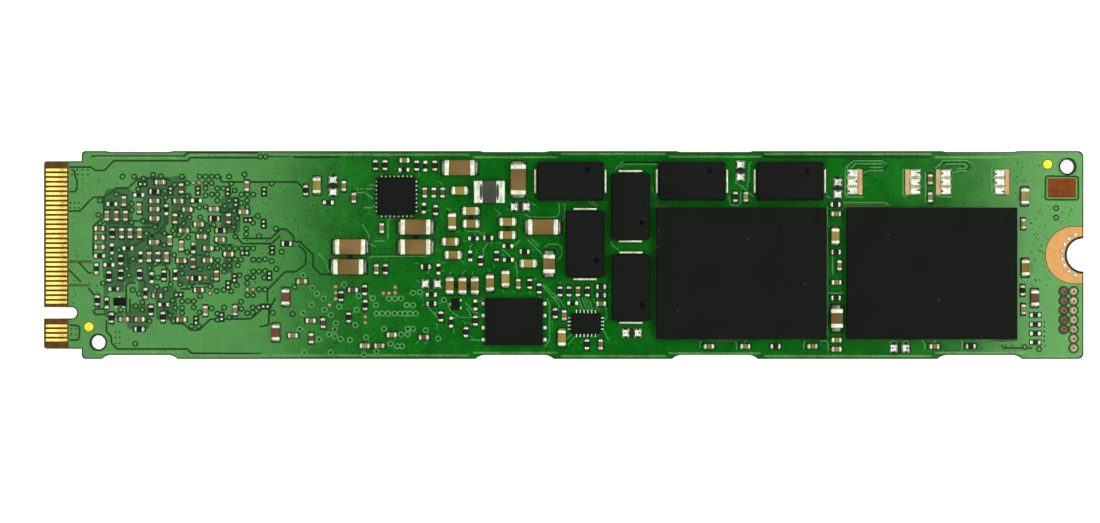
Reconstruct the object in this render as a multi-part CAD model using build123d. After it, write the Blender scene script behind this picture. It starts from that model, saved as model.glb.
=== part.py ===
"""M.2 22110 solid state drive card: a key-M circuit board with its fitted parts.

Units are millimetres. +X runs from the edge contacts to the screw notch, +Y across the card,
+Z out of the side that carries the hold-up capacitors. The origin is under the middle of the
card, on the plane that the reverse side's tallest pieces rest on.
"""
import os

from build123d import *

UPPER = 1
LOWER = -1

# Card outline
card_length = 110.0
card_width = 22.0
board_thickness = 0.8
tongue_length = 4.0
tongue_width = 19.85
tongue_corner = 0.3
shoulder_fillet = 0.4
far_corner = 0.6
key_notch_width = 1.2
key_notch_depth = 3.5
key_notch_y = -6.125
screw_notch_radius = 1.75
tooling_hole_radius = 0.75
tooling_holes = [(-49.25, -9.25), (53.3, 9.35)]
tooling_clearance_radius = 1.1
top_recess_depth = 0.1
bottom_recess_depth = 0.42
edge_recess_corner = 1.5
edge_recesses = [(-49.4, -40.4), (-9.8, -0.6), (11.0, 21.0), (39.1, 49.0)]

# Heights of the reverse side and of the layers on both faces
reverse_height = 1.5
copper_thickness = 0.04
mask_thickness = 0.03
mask_inset = 0.12
mask_start_x = -52.4
window_gap = 0.06
board_bottom = reverse_height
board_top = board_bottom + board_thickness
card_end = card_length / 2
card_side = card_width / 2

# Edge contacts
contact_pitch = 0.5
contact_width = 0.35
contact_length = 2.25
contact_start_x = -54.8
upper_contact_rows = [(9.0, 29), (-7.5, 4)]
lower_contact_rows = [(9.25, 29), (-7.25, 5)]

# Screw pad, marks and pads
screw_pad_radius = 3.0
screw_pad_x = 54.0
screw_pad_gap = 0.25
fiducial_radius = 0.48
fiducials = [(-50.25, -7.6), (51.2, 9.6)]
fiducial_window = 0.55
test_pad_radius = 0.42
test_pad_pitch = 1.0
test_pad_columns = [(52.9, -3.85, 5), (53.95, -3.85, 7)]
bare_window = (52.7, 7.1, 3.0, 2.05)

# Flash memory packages
flash_length = 18.0
flash_width = 13.9
flash_places = [(18.75, -1.95), (38.85, -1.95)]
ball_radius = 0.22
ball_pitch = 1.0
flash_balls = (14, 10)
ball_height = 0.25
substrate_top = 0.45
package_top = 1.4
package_margin = 1.0

# Reverse side packages
controller_size = 15.0
controller_place = (-39.0, 0.0)
controller_balls = (14, 14)
controller_substrate_top = 0.6
dram_length = 9.0
dram_width = 13.5
dram_place = (-20.5, 0.0)
dram_balls = (6, 12)
dram_top = 1.2
label_length = 36.5
label_width = 12.9
label_place = (28.8, -1.95)
inductor_size = 4.0
inductor_height = 1.35
inductor_terminal = 0.9
inductor_places = [(-8.0, 5.2), (-8.0, -5.2)]
crystal_length = 3.2
crystal_width = 2.5
crystal_height = 0.75
crystal_place = (-27.6, 8.4)

# Leadless chips on the upper side: body size, place, lead rows
power_chip_size = 3.9
power_chip_place = (-17.7, 6.2)
power_chip_height = 0.9
power_chip_pitch = 0.45
power_chip_leads = 8
memory_length = 6.0
memory_width = 4.9
memory_place = (-5.25, -7.05)
memory_height = 0.75
memory_pad_pitch = 1.27
memory_pads = 4
switch_length = 2.85
switch_width = 1.9
switch_place = (2.35, -7.25)
switch_height = 0.55
switch_pitch = 0.4
lead_thickness = 0.12

# Small transistors: place, and the side of the body that has the single lead
transistor_length = 1.2
transistor_width = 0.85
transistor_height = 0.5
transistor_places = [(-47.0, -4.95, 0), (-11.45, -5.2, 90)]

# Hold-up capacitors in moulded cases
case_length = 7.0
case_width = 4.1
case_height = 1.3
case_foot = 0.08
terminal_width = 2.45
terminal_thickness = 0.15
terminal_rise = 0.75
terminal_foot = 1.0
case_land_reach = 0.55
cases_along_x = [(0.7, 7.8), (13.55, 7.8), (23.9, 7.8)]
cases_along_y = [(2.25, 1.15), (7.05, 5.15), (7.1, -3.45)]
spare_case_lands = [(30.8, -1), (36.95, 1), (40.2, 1), (46.35, -1)]
spare_case_land_y = 7.72
spare_land_length = 1.6
spare_land_width = 2.7
solder_stripe_length = 1.15
solder_stripe_width = 0.55
solder_stripe_pitch = 0.92
solder_stripe_height = 0.1

# Filter inductor beside the power chip
filter_length = 3.3
filter_width = 2.35
filter_height = 1.2
filter_terminal = 0.95
filter_place = (-7.85, 6.65)

# Two-terminal chip sizes: length, width, height, end cap length, land reach past the end
CHIP_0402 = (1.0, 0.5, 0.45, 0.24, 0.14)
CHIP_0402_FLAT = (1.0, 0.5, 0.3, 0.24, 0.14)
CHIP_0603 = (1.6, 0.85, 0.75, 0.34, 0.22)
CHIP_0805 = (2.0, 1.25, 0.95, 0.45, 0.5)
CHIP_1206 = (3.2, 1.6, 1.2, 0.5, 0.4)

# Fitted two-terminal chips, as places with the long side along X or along Y
small_tan = {
    "X": [(-49.1, 0.85), (-42.7, 7.7), (-37.0, 4.85), (-33.85, 4.55), (-38.6, 3.25), (-38.3, 1.95),
          (-36.35, 1.65), (-43.35, 1.35), (-46.5, -6.8), (-28.65, -8.5), (-26.75, -6.95),
          (-21.05, -9.6), (-18.2, -8.45), (-16.85, 10.0), (28.8, 4.35), (28.85, -2.9),
          (28.85, -9.0), (28.85, -9.95), (26.3, -9.65), (15.35, -9.65), (19.2, -9.65),
          (39.2, -9.65)],
    "Y": [(-48.3, 4.15), (-44.9, 4.95), (-44.85, 2.3), (-42.0, -0.2), (-33.5, 7.3), (-41.65, 1.55),
          (-40.45, 1.0), (-37.9, -5.9), (-34.75, -5.85), (-23.25, 7.3), (-19.25, 2.85),
          (19.25, 6.15), (38.75, 6.1), (48.6, 3.3), (48.6, -5.75)],
}
small_brown = {
    "X": [(-49.1, 2.8), (-49.1, 1.85), (-43.3, 5.7), (-43.3, 4.85), (-43.3, 3.85), (-40.75, 5.7),
          (-39.8, 4.8), (-40.15, 2.6), (-37.6, 0.7), (-35.45, 0.1), (-40.45, -0.6),
          (-37.65, -0.55), (-44.85, -6.8), (-40.45, -6.85), (-27.7, -2.8), (-19.5, -9.6),
          (3.95, -5.15)],
    "Y": [(-46.5, 5.7), (-47.3, 4.15), (-46.35, 4.15), (-46.75, 2.3), (-45.85, 2.3),
          (-43.85, -0.2), (-36.7, -2.15), (-22.2, 6.05), (-14.7, 6.6), (-19.8, -1.5),
          (-4.8, -3.05), (0.05, -6.35), (38.75, 8.0), (29.15, -1.1), (3.9, -9.45)],
}
small_dark = {
    "X": [(-38.6, -3.7), (-43.0, -4.3), (-22.3, -3.7), (-14.8, -8.7)],
    "Y": [(-42.9, -0.2), (-40.45, 7.05), (-41.1, 3.85), (-35.45, 3.85), (-39.2, -0.85),
          (-25.45, -7.2), (-26.7, -8.8), (-13.75, 6.6), (-12.8, 6.6), (1.5, -3.85)],
}
resistors = {
    "X": [(-43.3, 6.7), (-36.95, 3.85), (-36.3, 2.6), (-38.9, -2.45), (-44.9, -7.85), (-29.3, 1.2),
          (-14.6, -1.25), (-14.0, -5.15), (-8.0, 1.8), (-4.15, 0.35), (3.95, -3.35), (3.95, -4.25),
          (28.75, 5.35), (28.8, 0.3), (28.8, -4.55), (22.4, -9.65), (43.05, -9.65)],
    "Y": [(-47.75, 2.3), (-46.85, -0.5), (-48.1, -2.25), (-46.85, -2.05), (-44.85, -2.05),
          (-49.35, -4.8), (-47.85, -6.65), (-43.65, -5.85), (-42.3, -2.15), (-42.4, -6.55),
          (-27.3, 6.85), (-23.55, -4.35), (-21.05, -3.7), (-21.0, -5.3), (-22.75, -6.6),
          (-19.9, 9.5), (-18.9, 9.5), (-15.55, 9.45), (-13.65, 9.45), (-13.55, 4.75),
          (-18.85, -1.5), (-13.0, -6.5), (-9.35, -6.95), (-10.35, -8.15), (-8.8, -0.6),
          (-7.1, -0.1), (-3.6, -3.05), (-2.6, -3.55), (-0.4, -3.85), (0.55, -3.85), (2.5, -3.85),
          (-0.9, -6.15), (2.45, -9.45), (18.15, 6.15), (48.55, -3.75)],
}
medium_tan = {
    "X": [(-11.0, 6.8), (-9.85, 4.65), (-5.95, 3.5), (-3.75, -0.9)],
    "Y": [(-11.8, 3.55), (28.7, 2.0), (48.75, 6.2), (-6.15, -2.5), (-26.1, 7.35), (-0.2, -8.75)],
}
medium_brown = {
    "X": [(-9.8, 3.3), (-12.0, 1.4), (-11.7, 0.0), (-5.95, 2.1)],
    "Y": [(-29.4, -4.45), (-30.45, -8.2), (-12.05, -3.25), (-10.7, -3.25), (-9.4, -3.25),
          (-7.8, -2.95), (48.8, -1.35), (49.8, -4.55)],
}
large_0805 = {"X": [], "Y": [(-1.55, -0.95), (28.85, -6.7)]}
large_1206 = {
    "X": [(-22.55, 0.85), (-22.75, -1.25), (-11.0, 9.2), (-15.65, 2.95), (-15.65, 0.85),
          (-2.2, 2.95)],
    "Y": [(-4.8, 7.95)],
}

# Lands left without a part
spare_small = {
    "X": [(-47.8, 5.4), (-44.95, 6.35), (-46.1, 0.7), (-49.1, -0.1), (-48.1, -1.05), (-47.6, -3.6),
          (-38.85, 5.75), (-42.3, -5.25), (-24.9, 5.55), (-16.9, 9.0), (-14.0, -4.2),
          (-9.55, 1.75), (-5.9, 0.95), (-5.85, -0.5), (0.95, -5.1), (49.9, -6.35), (49.9, -7.35),
          (49.9, -8.3), (49.9, -9.25)],
    "Y": [(-47.8, 0.65), (-49.45, -1.45), (-48.35, -5.1), (-44.25, -4.05), (-42.05, 4.8),
          (-39.2, 0.75), (-44.8, -0.2), (-41.1, -2.1), (-43.6, -2.4), (-14.65, 9.4),
          (-14.8, 4.95), (-13.25, -1.5), (-11.9, -7.1), (-9.35, -5.3), (-9.9, -0.1)],
}
spare_tiny = {
    "X": [(-44.55, 7.5), (-33.4, 3.7), (-33.75, 0.2), (-40.75, -4.2), (-31.55, -5.45)],
    "Y": [(-41.6, 6.8), (-38.7, 6.8), (-35.55, 6.7), (-34.7, 5.55), (-34.85, -2.45),
          (-35.5, -3.2), (-38.9, -6.95), (-36.2, -6.55), (-31.7, 6.7), (-31.75, 3.3),
          (-30.85, 0.5), (-31.15, -2.2)],
}
spare_medium = {
    "X": [(-14.0, -3.05), (-4.6, 5.1), (7.2, -8.25), (35.55, -9.85)],
    "Y": [(-24.4, 7.3), (18.7, 8.9), (29.0, 7.05)],
}
SPARE_SMALL_LAND = (0.36, 0.5, 0.42)
SPARE_TINY_LAND = (0.26, 0.28, 0.23)
SPARE_MEDIUM_LAND = (0.9, 1.0, 0.65)

# Reverse side chips, in rows: first place, step, count
reverse_small_rows = [((-46.5, 9.3), 1.6, 10), ((-46.5, -9.3), 1.6, 10), ((-27.0, -9.2), 1.7, 8),
                      ((12.0, 7.2), 2.4, 15)]
reverse_resistor_rows = [((-22.5, 9.2), 1.7, 6), ((13.2, 9.3), 3.6, 9)]
reverse_medium_rows = [((-2.5, 7.6), 2.0, 5), ((-2.5, 2.4), 2.0, 5), ((-2.5, -2.8), 2.0, 5),
                       ((-2.5, -8.0), 2.0, 5)]


def slab(x, y, size_x, size_y, low, high, side=UPPER):
    """A box over the board's face, from `low` to `high` away from the laminate."""
    middle = (low + high) / 2
    z = board_top + middle if side == UPPER else board_bottom - middle
    return Pos(x, y, z) * Box(size_x, size_y, high - low)


def disc(x, y, radius, low, high, side=UPPER):
    """A round plate over the board's face."""
    middle = (low + high) / 2
    z = board_top + middle if side == UPPER else board_bottom - middle
    return Pos(x, y, z) * Cylinder(radius, high - low)


def save(name, solids):
    """Write one named piece, or one group of identical pieces, as a STEP file."""
    group = Compound(label=name, children=list(solids))
    export_step(group, f"parts/{name}.step")


def spots(places):
    """Yield x, y and whether the long side runs along X, for a dictionary of places."""
    for x, y in places["X"]:
        yield x, y, True
    for x, y in places["Y"]:
        yield x, y, False


def row(start, step, count):
    """Places in a line along X."""
    return [(start[0] + step * index, start[1]) for index in range(count)]


def rows_of(rows):
    """Every place of several rows, all with the long side across the card."""
    return {"X": [], "Y": [place for start, step, count in rows for place in row(start, step, count)]}


# Board outline

def outline(inset=0.0):
    """The card's flat outline, drawn in by `inset` from every cut edge."""
    main_length = card_length - tongue_length
    main = Rectangle(main_length - 2 * inset, card_width - 2 * inset)
    main = fillet(main.vertices().sort_by(Axis.X)[-2:], far_corner)
    main = fillet(main.vertices().sort_by(Axis.X)[:2], shoulder_fillet)
    main = Pos(tongue_length / 2, 0) * main
    overlap = 2.0
    tongue = RectangleRounded(tongue_length + overlap - inset, tongue_width - 2 * inset, tongue_corner)
    tongue_x = -card_end + inset + (tongue_length + overlap - inset) / 2
    shape = main + Pos(tongue_x, 0) * tongue
    cuts = [Pos(card_end, 0) * Circle(screw_notch_radius + inset)]
    notch_reach = key_notch_depth + inset
    notch = SlotOverall(2 * notch_reach, key_notch_width + 2 * inset)
    cuts.append(Pos(-card_end, key_notch_y) * notch)
    cuts += [Pos(x, y) * Circle(tooling_hole_radius + inset) for x, y in tooling_holes]
    for low, high in edge_recesses:
        for edge, depth in ((UPPER, top_recess_depth), (LOWER, bottom_recess_depth)):
            recess = RectangleRounded(high - low, 2 * (depth + edge_recess_corner), edge_recess_corner)
            recess_y = edge * (card_side + edge_recess_corner - inset)
            cuts.append(Pos((low + high) / 2, recess_y) * recess)
    return shape - cuts


def make_board():
    """The bare laminate, cut to the card's outline."""
    return Pos(0, 0, board_bottom) * extrude(outline(), board_thickness)


# Two-terminal chips

def chip_body(x, y, along_x, size, side=UPPER):
    """The ceramic block of one chip, between its two end caps."""
    length, width, height, cap, _ = size
    inner = length - 2 * cap
    size_x, size_y = (inner, width) if along_x else (width, inner)
    return slab(x, y, size_x, size_y, copper_thickness, copper_thickness + height, side)


def chip_ends(x, y, along_x, size, side=UPPER):
    """The two end caps of one chip, face to face with its block."""
    length, width, height, cap, _ = size
    shift = (length - cap) / 2
    ends = []
    for way in (-1, 1):
        dx, dy = (way * shift, 0) if along_x else (0, way * shift)
        size_x, size_y = (cap, width) if along_x else (width, cap)
        ends.append(slab(x + dx, y + dy, size_x, size_y, copper_thickness,
                         copper_thickness + height, side))
    return ends


def chip_lands(x, y, along_x, size, side=UPPER):
    """The two lands under one chip, reaching past its ends for the solder."""
    length, width, _, cap, reach = size
    land = cap + reach
    shift = length / 2 - cap + land / 2
    lands = []
    for way in (-1, 1):
        dx, dy = (way * shift, 0) if along_x else (0, way * shift)
        size_x, size_y = (land, width) if along_x else (width, land)
        lands.append(slab(x + dx, y + dy, size_x, size_y, 0, copper_thickness, side))
    return lands


def chip_window(x, y, along_x, size):
    """The opening that the solder mask leaves round one chip's lands."""
    length, width, _, _, reach = size
    long_side = length + 2 * reach + 2 * window_gap
    short_side = width + 2 * window_gap
    size_x, size_y = (long_side, short_side) if along_x else (short_side, long_side)
    return Pos(x, y) * Rectangle(size_x, size_y)


def spare_pair(x, y, along_x, land):
    """Two empty lands and the mask opening round them."""
    length, width, shift = land
    lands = []
    for way in (-1, 1):
        dx, dy = (way * shift, 0) if along_x else (0, way * shift)
        size_x, size_y = (length, width) if along_x else (width, length)
        lands.append(slab(x + dx, y + dy, size_x, size_y, 0, copper_thickness))
    long_side = 2 * shift + length + 2 * window_gap
    short_side = width + 2 * window_gap
    size_x, size_y = (long_side, short_side) if along_x else (short_side, long_side)
    return lands, Pos(x, y) * Rectangle(size_x, size_y)


# Packages on solder balls

def ball_grid(place, columns, rows, height, side):
    """Solder balls in a grid, as short posts between the board and the package."""
    x, y = place
    posts = []
    for i in range(columns):
        for j in range(rows):
            post_x = x + (i - (columns - 1) / 2) * ball_pitch
            post_y = y + (j - (rows - 1) / 2) * ball_pitch
            posts.append(disc(post_x, post_y, ball_radius, 0, height, side))
    return posts


def package(place, length, width, low, high, side):
    """A moulded cap with slightly broken top edges."""
    broken_edge = 0.08
    block = slab(place[0], place[1], length, width, low, high, side)
    face = block.faces().sort_by(Axis.Z)[-1 if side == UPPER else 0]
    return chamfer(face.edges(), broken_edge)


# Chips with leads flush at their sides

def side_leads(place, size, pitch, count_x, count_y, reach, width, height):
    """Lead ends along the four sides of a leadless chip, standing out from its body."""
    x, y = place
    length, depth = size
    leads = []
    for i in range(count_x):
        lead_x = x + (i - (count_x - 1) / 2) * pitch
        for way in (-1, 1):
            lead_y = y + way * (depth + reach) / 2
            leads.append(slab(lead_x, lead_y, width, reach, 0, height))
    for j in range(count_y):
        lead_y = y + (j - (count_y - 1) / 2) * pitch
        for way in (-1, 1):
            lead_x = x + way * (length + reach) / 2
            leads.append(slab(lead_x, lead_y, reach, width, 0, height))
    return leads


def transistor(x, y, turn):
    """A three-lead transistor: its moulded body and its three flat leads."""
    body = slab(0, 0, transistor_length, transistor_width, copper_thickness,
                copper_thickness + transistor_height)
    lead_width = 0.28
    lead_reach = 0.22
    lead_y = (transistor_width + lead_reach) / 2
    lead_x = 0.4
    leads = [slab(0, lead_y, lead_width, lead_reach, 0, lead_thickness)]
    leads += [slab(way * lead_x, -lead_y, lead_width, lead_reach, 0, lead_thickness)
              for way in (-1, 1)]
    place = Pos(x, y, 0) * Rot(0, 0, turn)
    return place * body, [place * lead for lead in leads]


# Hold-up capacitors

def capacitor_case(x, y, along_x):
    """The moulded case of one hold-up capacitor, with broken top edges."""
    size_x, size_y = (case_length, case_width) if along_x else (case_width, case_length)
    low = copper_thickness + case_foot
    block = slab(x, y, size_x, size_y, low, low + case_height)
    broken_edge = 0.15
    return chamfer(block.faces().sort_by(Axis.Z)[-1].edges(), broken_edge)


def capacitor_terminals(x, y, along_x):
    """Two folded strips: a foot under the case and a face up its end."""
    strips = []
    for way in (-1, 1):
        foot = slab(way * (case_length - terminal_foot) / 2, 0, terminal_foot, terminal_width,
                    copper_thickness, copper_thickness + case_foot)
        face = slab(way * (case_length + terminal_thickness) / 2, 0, terminal_thickness,
                    terminal_width, copper_thickness, copper_thickness + terminal_rise)
        strips.append(Pos(x, y, 0) * Rot(0, 0, 0 if along_x else 90) * (foot + face))
    return strips


def capacitor_lands(x, y, along_x):
    """The two lands of one hold-up capacitor and the mask openings round them."""
    length = terminal_foot + case_land_reach
    shift = case_length / 2 - terminal_foot + length / 2
    lands = []
    windows = []
    for way in (-1, 1):
        dx, dy = (way * shift, 0) if along_x else (0, way * shift)
        size_x, size_y = (length, spare_land_width) if along_x else (spare_land_width, length)
        lands.append(slab(x + dx, y + dy, size_x, size_y, 0, copper_thickness))
        windows.append(Pos(x + dx, y + dy) * Rectangle(size_x + 2 * window_gap,
                                                       size_y + 2 * window_gap))
    return lands, windows


# Contacts, pads and marks

def edge_contacts(contact_rows, side):
    """The gold fingers of one face."""
    fingers = []
    for first_y, count in contact_rows:
        for index in range(count):
            y = first_y - index * contact_pitch
            x = contact_start_x + contact_length / 2
            fingers.append(slab(x, y, contact_length, contact_width, 0, copper_thickness, side))
    return fingers


def screw_pad(side):
    """The bare copper land round the screw notch."""
    block = Rectangle(card_end - screw_pad_x, 2 * screw_pad_radius)
    shape = Pos(screw_pad_x, 0) * Circle(screw_pad_radius)
    shape += Pos((card_end + screw_pad_x) / 2, 0) * block
    shape -= Pos(card_end, 0) * Circle(screw_notch_radius + screw_pad_gap)
    beyond = Pos(card_end + card_side - mask_inset, 0) * Rectangle(card_width, card_width)
    shape -= beyond
    z = board_top if side == UPPER else board_bottom - copper_thickness
    return Pos(0, 0, z) * extrude(shape, copper_thickness)


def screw_pad_window():
    """The mask opening round the screw notch land."""
    radius = screw_pad_radius + window_gap
    block = Rectangle(card_width, 2 * radius)
    return Pos(screw_pad_x, 0) * Circle(radius) + Pos(screw_pad_x + card_side, 0) * block


def test_pad_places():
    """Places of the two columns of round test pads."""
    places = []
    for x, first_y, count in test_pad_columns:
        places += [(x, first_y - index * test_pad_pitch) for index in range(count)]
    return places


def solder_mask(windows, side):
    """The green lacquer skin of one face, open over the lands and off the contact edge."""
    clear = card_length
    contact_edge = Pos(mask_start_x - clear / 2, 0) * Rectangle(clear, card_width * 2)
    rings = [Pos(x, y) * Circle(tooling_clearance_radius) for x, y in tooling_holes]
    shape = outline(mask_inset) - [contact_edge, screw_pad_window()] - rings - windows
    z = board_top if side == UPPER else board_bottom - mask_thickness
    return Pos(0, 0, z) * extrude(shape, mask_thickness)


os.makedirs("parts", exist_ok=True)

upper_windows = []
lower_windows = []
upper_lands = []
lower_lands = []
side_windows = {UPPER: upper_windows, LOWER: lower_windows}
side_lands = {UPPER: upper_lands, LOWER: lower_lands}

# Board, contacts and pads
save("circuit_board", [make_board()])
save("edge_contacts_upper", edge_contacts(upper_contact_rows, UPPER))
save("edge_contacts_lower", edge_contacts(lower_contact_rows, LOWER))
save("screw_ground_pad_upper", [screw_pad(UPPER)])
save("screw_ground_pad_lower", [screw_pad(LOWER)])
save("test_pads", [disc(x, y, test_pad_radius, 0, copper_thickness) for x, y in test_pad_places()])
upper_windows += [Pos(x, y) * Circle(test_pad_radius + window_gap) for x, y in test_pad_places()]
save("fiducial_marks", [disc(x, y, fiducial_radius, 0, copper_thickness, side)
                        for x, y in fiducials for side in (UPPER, LOWER)])
fiducial_windows = [Pos(x, y) * Circle(fiducial_window) for x, y in fiducials]
upper_windows += fiducial_windows
lower_windows += fiducial_windows
upper_windows.append(Pos(bare_window[0], bare_window[1]) * Rectangle(bare_window[2], bare_window[3]))

# Packages on solder balls: node name, place, length, width, substrate top, cap top, ball grid
grid_packages = {
    UPPER: [], LOWER: [
        ("controller_package", controller_place, controller_size, controller_size,
         controller_substrate_top, reverse_height, controller_balls),
        ("dram_package", dram_place, dram_length, dram_width, substrate_top, dram_top, dram_balls),
    ],
}
side_names = {UPPER: "upper", LOWER: "lower"}
for side, side_name in side_names.items():
    for number, place in enumerate(flash_places, start=1):
        grid_packages[side].append((f"flash_package_{side_name}_{number}", place, flash_length,
                                    flash_width, substrate_top, package_top, flash_balls))
    balls = []
    substrates = []
    for node, place, length, width, low, high, grid in grid_packages[side]:
        save(node, [package(place, length, width, low, high, side)])
        balls += ball_grid(place, *grid, ball_height, side)
        substrates.append(slab(*place, length, width, ball_height, low, side))
        window = Pos(*place) * Rectangle(length - package_margin, width - package_margin)
        side_windows[side].append(window)
    save(f"package_solder_balls_{side_name}", balls)
    save(f"package_substrates_{side_name}", substrates)
save("blank_label", [slab(*label_place, label_length, label_width, package_top, reverse_height,
                          LOWER)])

# Power inductors and crystal on the reverse side
cores = []
core_terminals = []
for x, y in inductor_places:
    top = copper_thickness + inductor_height
    core_length = inductor_size - 2 * inductor_terminal
    cores.append(slab(x, y, core_length, inductor_size, copper_thickness, top, LOWER))
    for way in (-1, 1):
        terminal_x = x + way * (inductor_size - inductor_terminal) / 2
        core_terminals.append(slab(terminal_x, y, inductor_terminal, inductor_size,
                                   copper_thickness, top, LOWER))
        lower_lands.append(slab(terminal_x, y, inductor_terminal, inductor_size, 0,
                                copper_thickness, LOWER))
    span = inductor_size + 2 * window_gap
    lower_windows.append(Pos(x, y) * Rectangle(span, span))
save("power_inductor_cores", cores)
save("power_inductor_terminals", core_terminals)
save("crystal_can", [slab(*crystal_place, crystal_length, crystal_width, copper_thickness,
                          copper_thickness + crystal_height, LOWER)])
lower_lands.append(slab(*crystal_place, crystal_length, crystal_width, 0, copper_thickness, LOWER))
lower_windows.append(Pos(*crystal_place) * Rectangle(crystal_length + 2 * window_gap,
                                                     crystal_width + 2 * window_gap))

# Power chip, boot memory and load switch
chip_gap = 0.02
lead_reach = 0.28
power_size = (power_chip_size, power_chip_size)
save("power_chip", [slab(*power_chip_place, *power_size, mask_thickness + chip_gap,
                         power_chip_height)])
save("power_chip_leads", side_leads(power_chip_place, power_size, power_chip_pitch,
                                    power_chip_leads, power_chip_leads, lead_reach, 0.22, 0.2))
memory_size = (memory_length, memory_width)
save("boot_memory", [slab(*memory_place, *memory_size, mask_thickness + chip_gap, memory_height)])
save("boot_memory_leads", side_leads(memory_place, memory_size, memory_pad_pitch, 0, memory_pads,
                                     0.45, 0.42, 0.18))
switch_size = (switch_length, switch_width)
save("load_switch", [slab(*switch_place, *switch_size, mask_thickness + chip_gap, switch_height)])
save("load_switch_leads", side_leads(switch_place, switch_size, switch_pitch, 6, 4, 0.3, 0.18, 0.16))
for place, size, reach in ((power_chip_place, power_size, lead_reach),
                           (memory_place, memory_size, 0.45),
                           (switch_place, switch_size, 0.3)):
    upper_windows.append(Pos(*place) * Rectangle(size[0] + 2 * (reach + window_gap),
                                                 size[1] + 2 * (reach + window_gap)))

# Small transistors
bodies = []
leads = []
for x, y, turn in transistor_places:
    body, body_leads = transistor(x, y, turn)
    bodies.append(body)
    leads += body_leads
    long_side, short_side = transistor_length, transistor_width + 0.6
    if turn:
        long_side, short_side = short_side, long_side
    upper_windows.append(Pos(x, y) * Rectangle(long_side, short_side))
save("transistor_bodies", bodies)
save("transistor_leads", leads)

# Hold-up capacitors
terminals = []
case_places = [(x, y, True) for x, y in cases_along_x] + [(x, y, False) for x, y in cases_along_y]
for number, (x, y, along) in enumerate(case_places, start=1):
    save(f"hold_up_capacitor_{number}", [capacitor_case(x, y, along)])
    terminals += capacitor_terminals(x, y, along)
    lands, windows = capacitor_lands(x, y, along)
    upper_lands += lands
    upper_windows += windows
save("hold_up_capacitor_terminals", terminals)

# Lands for two more hold-up capacitors, tinned in stripes
stripes = []
spare_large_lands = []
for x, way in spare_case_lands:
    spare_large_lands.append(slab(x, spare_case_land_y, spare_land_length, spare_land_width, 0,
                                  copper_thickness))
    upper_windows.append(Pos(x, spare_case_land_y) * Rectangle(spare_land_length + 2 * window_gap,
                                                               spare_land_width + 2 * window_gap))
    stripe_x = x + way * (spare_land_length - solder_stripe_length) / 2
    for index in (-1, 0, 1):
        stripe_y = spare_case_land_y + index * solder_stripe_pitch
        stripes.append(slab(stripe_x, stripe_y, solder_stripe_length, solder_stripe_width,
                            copper_thickness, solder_stripe_height))
save("spare_capacitor_lands", spare_large_lands)
save("spare_land_solder", stripes)

# Filter inductor
core_length = filter_length - 2 * filter_terminal
filter_top = copper_thickness + filter_height
save("filter_inductor_core", [slab(*filter_place, core_length, filter_width, copper_thickness,
                                   filter_top)])
filter_ends = []
for way in (-1, 1):
    end_x = filter_place[0] + way * (filter_length - filter_terminal) / 2
    filter_ends.append(slab(end_x, filter_place[1], filter_terminal, filter_width,
                            copper_thickness, filter_top))
    upper_lands.append(slab(end_x, filter_place[1], filter_terminal, filter_width, 0,
                            copper_thickness))
save("filter_inductor_terminals", filter_ends)
upper_windows.append(Pos(*filter_place) * Rectangle(filter_length + 2 * window_gap,
                                                    filter_width + 2 * window_gap))

# Ceramic capacitors and resistors
chip_groups = {
    "small_capacitors": (UPPER, {"_tan": [(CHIP_0402, small_tan)],
                                 "_brown": [(CHIP_0402, small_brown)],
                                 "_dark": [(CHIP_0402, small_dark)]}),
    "medium_capacitors": (UPPER, {"_tan": [(CHIP_0603, medium_tan)],
                                  "_brown": [(CHIP_0603, medium_brown)]}),
    "large_capacitors": (UPPER, {"": [(CHIP_0805, large_0805), (CHIP_1206, large_1206)]}),
    "resistors": (UPPER, {"": [(CHIP_0402_FLAT, resistors)]}),
    "reverse_capacitors": (LOWER, {"": [(CHIP_0402, rows_of(reverse_small_rows)),
                                        (CHIP_0603, rows_of(reverse_medium_rows))]}),
    "reverse_resistors": (LOWER, {"": [(CHIP_0402_FLAT, rows_of(reverse_resistor_rows))]}),
}
for name, (side, families) in chip_groups.items():
    group_ends = []
    for family, members in families.items():
        bodies = []
        for size, places in members:
            for x, y, along in spots(places):
                bodies.append(chip_body(x, y, along, size, side))
                group_ends += chip_ends(x, y, along, size, side)
                side_lands[side] += chip_lands(x, y, along, size, side)
                side_windows[side].append(chip_window(x, y, along, size))
        save(name + family, bodies)
    save(f"{name}_ends", group_ends)

# Spare lands
spare_lands = []
for places, land in ((spare_small, SPARE_SMALL_LAND), (spare_tiny, SPARE_TINY_LAND),
                     (spare_medium, SPARE_MEDIUM_LAND)):
    for x, y, along in spots(places):
        lands, window = spare_pair(x, y, along, land)
        spare_lands += lands
        upper_windows.append(window)
save("spare_lands", spare_lands)

save("component_lands_upper", upper_lands)
save("component_lands_lower", lower_lands)
save("solder_mask_upper", [solder_mask(upper_windows, UPPER)])
save("solder_mask_lower", [solder_mask(lower_windows, LOWER)])
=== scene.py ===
"""Looks of a bare M.2 solid state drive card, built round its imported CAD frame.

Every length in the size fields is in millimetres, in the frame of the CAD model: +X runs from the
edge contacts to the screw notch and +Z out of the side with the hold-up capacitors. Meshes are
written in metres.
"""
import logging
import math
import random
from dataclasses import dataclass, field
from enum import Enum
from typing import Any, Iterable, Sequence

import bmesh
import bpy
from mathutils import Matrix, Vector


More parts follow.
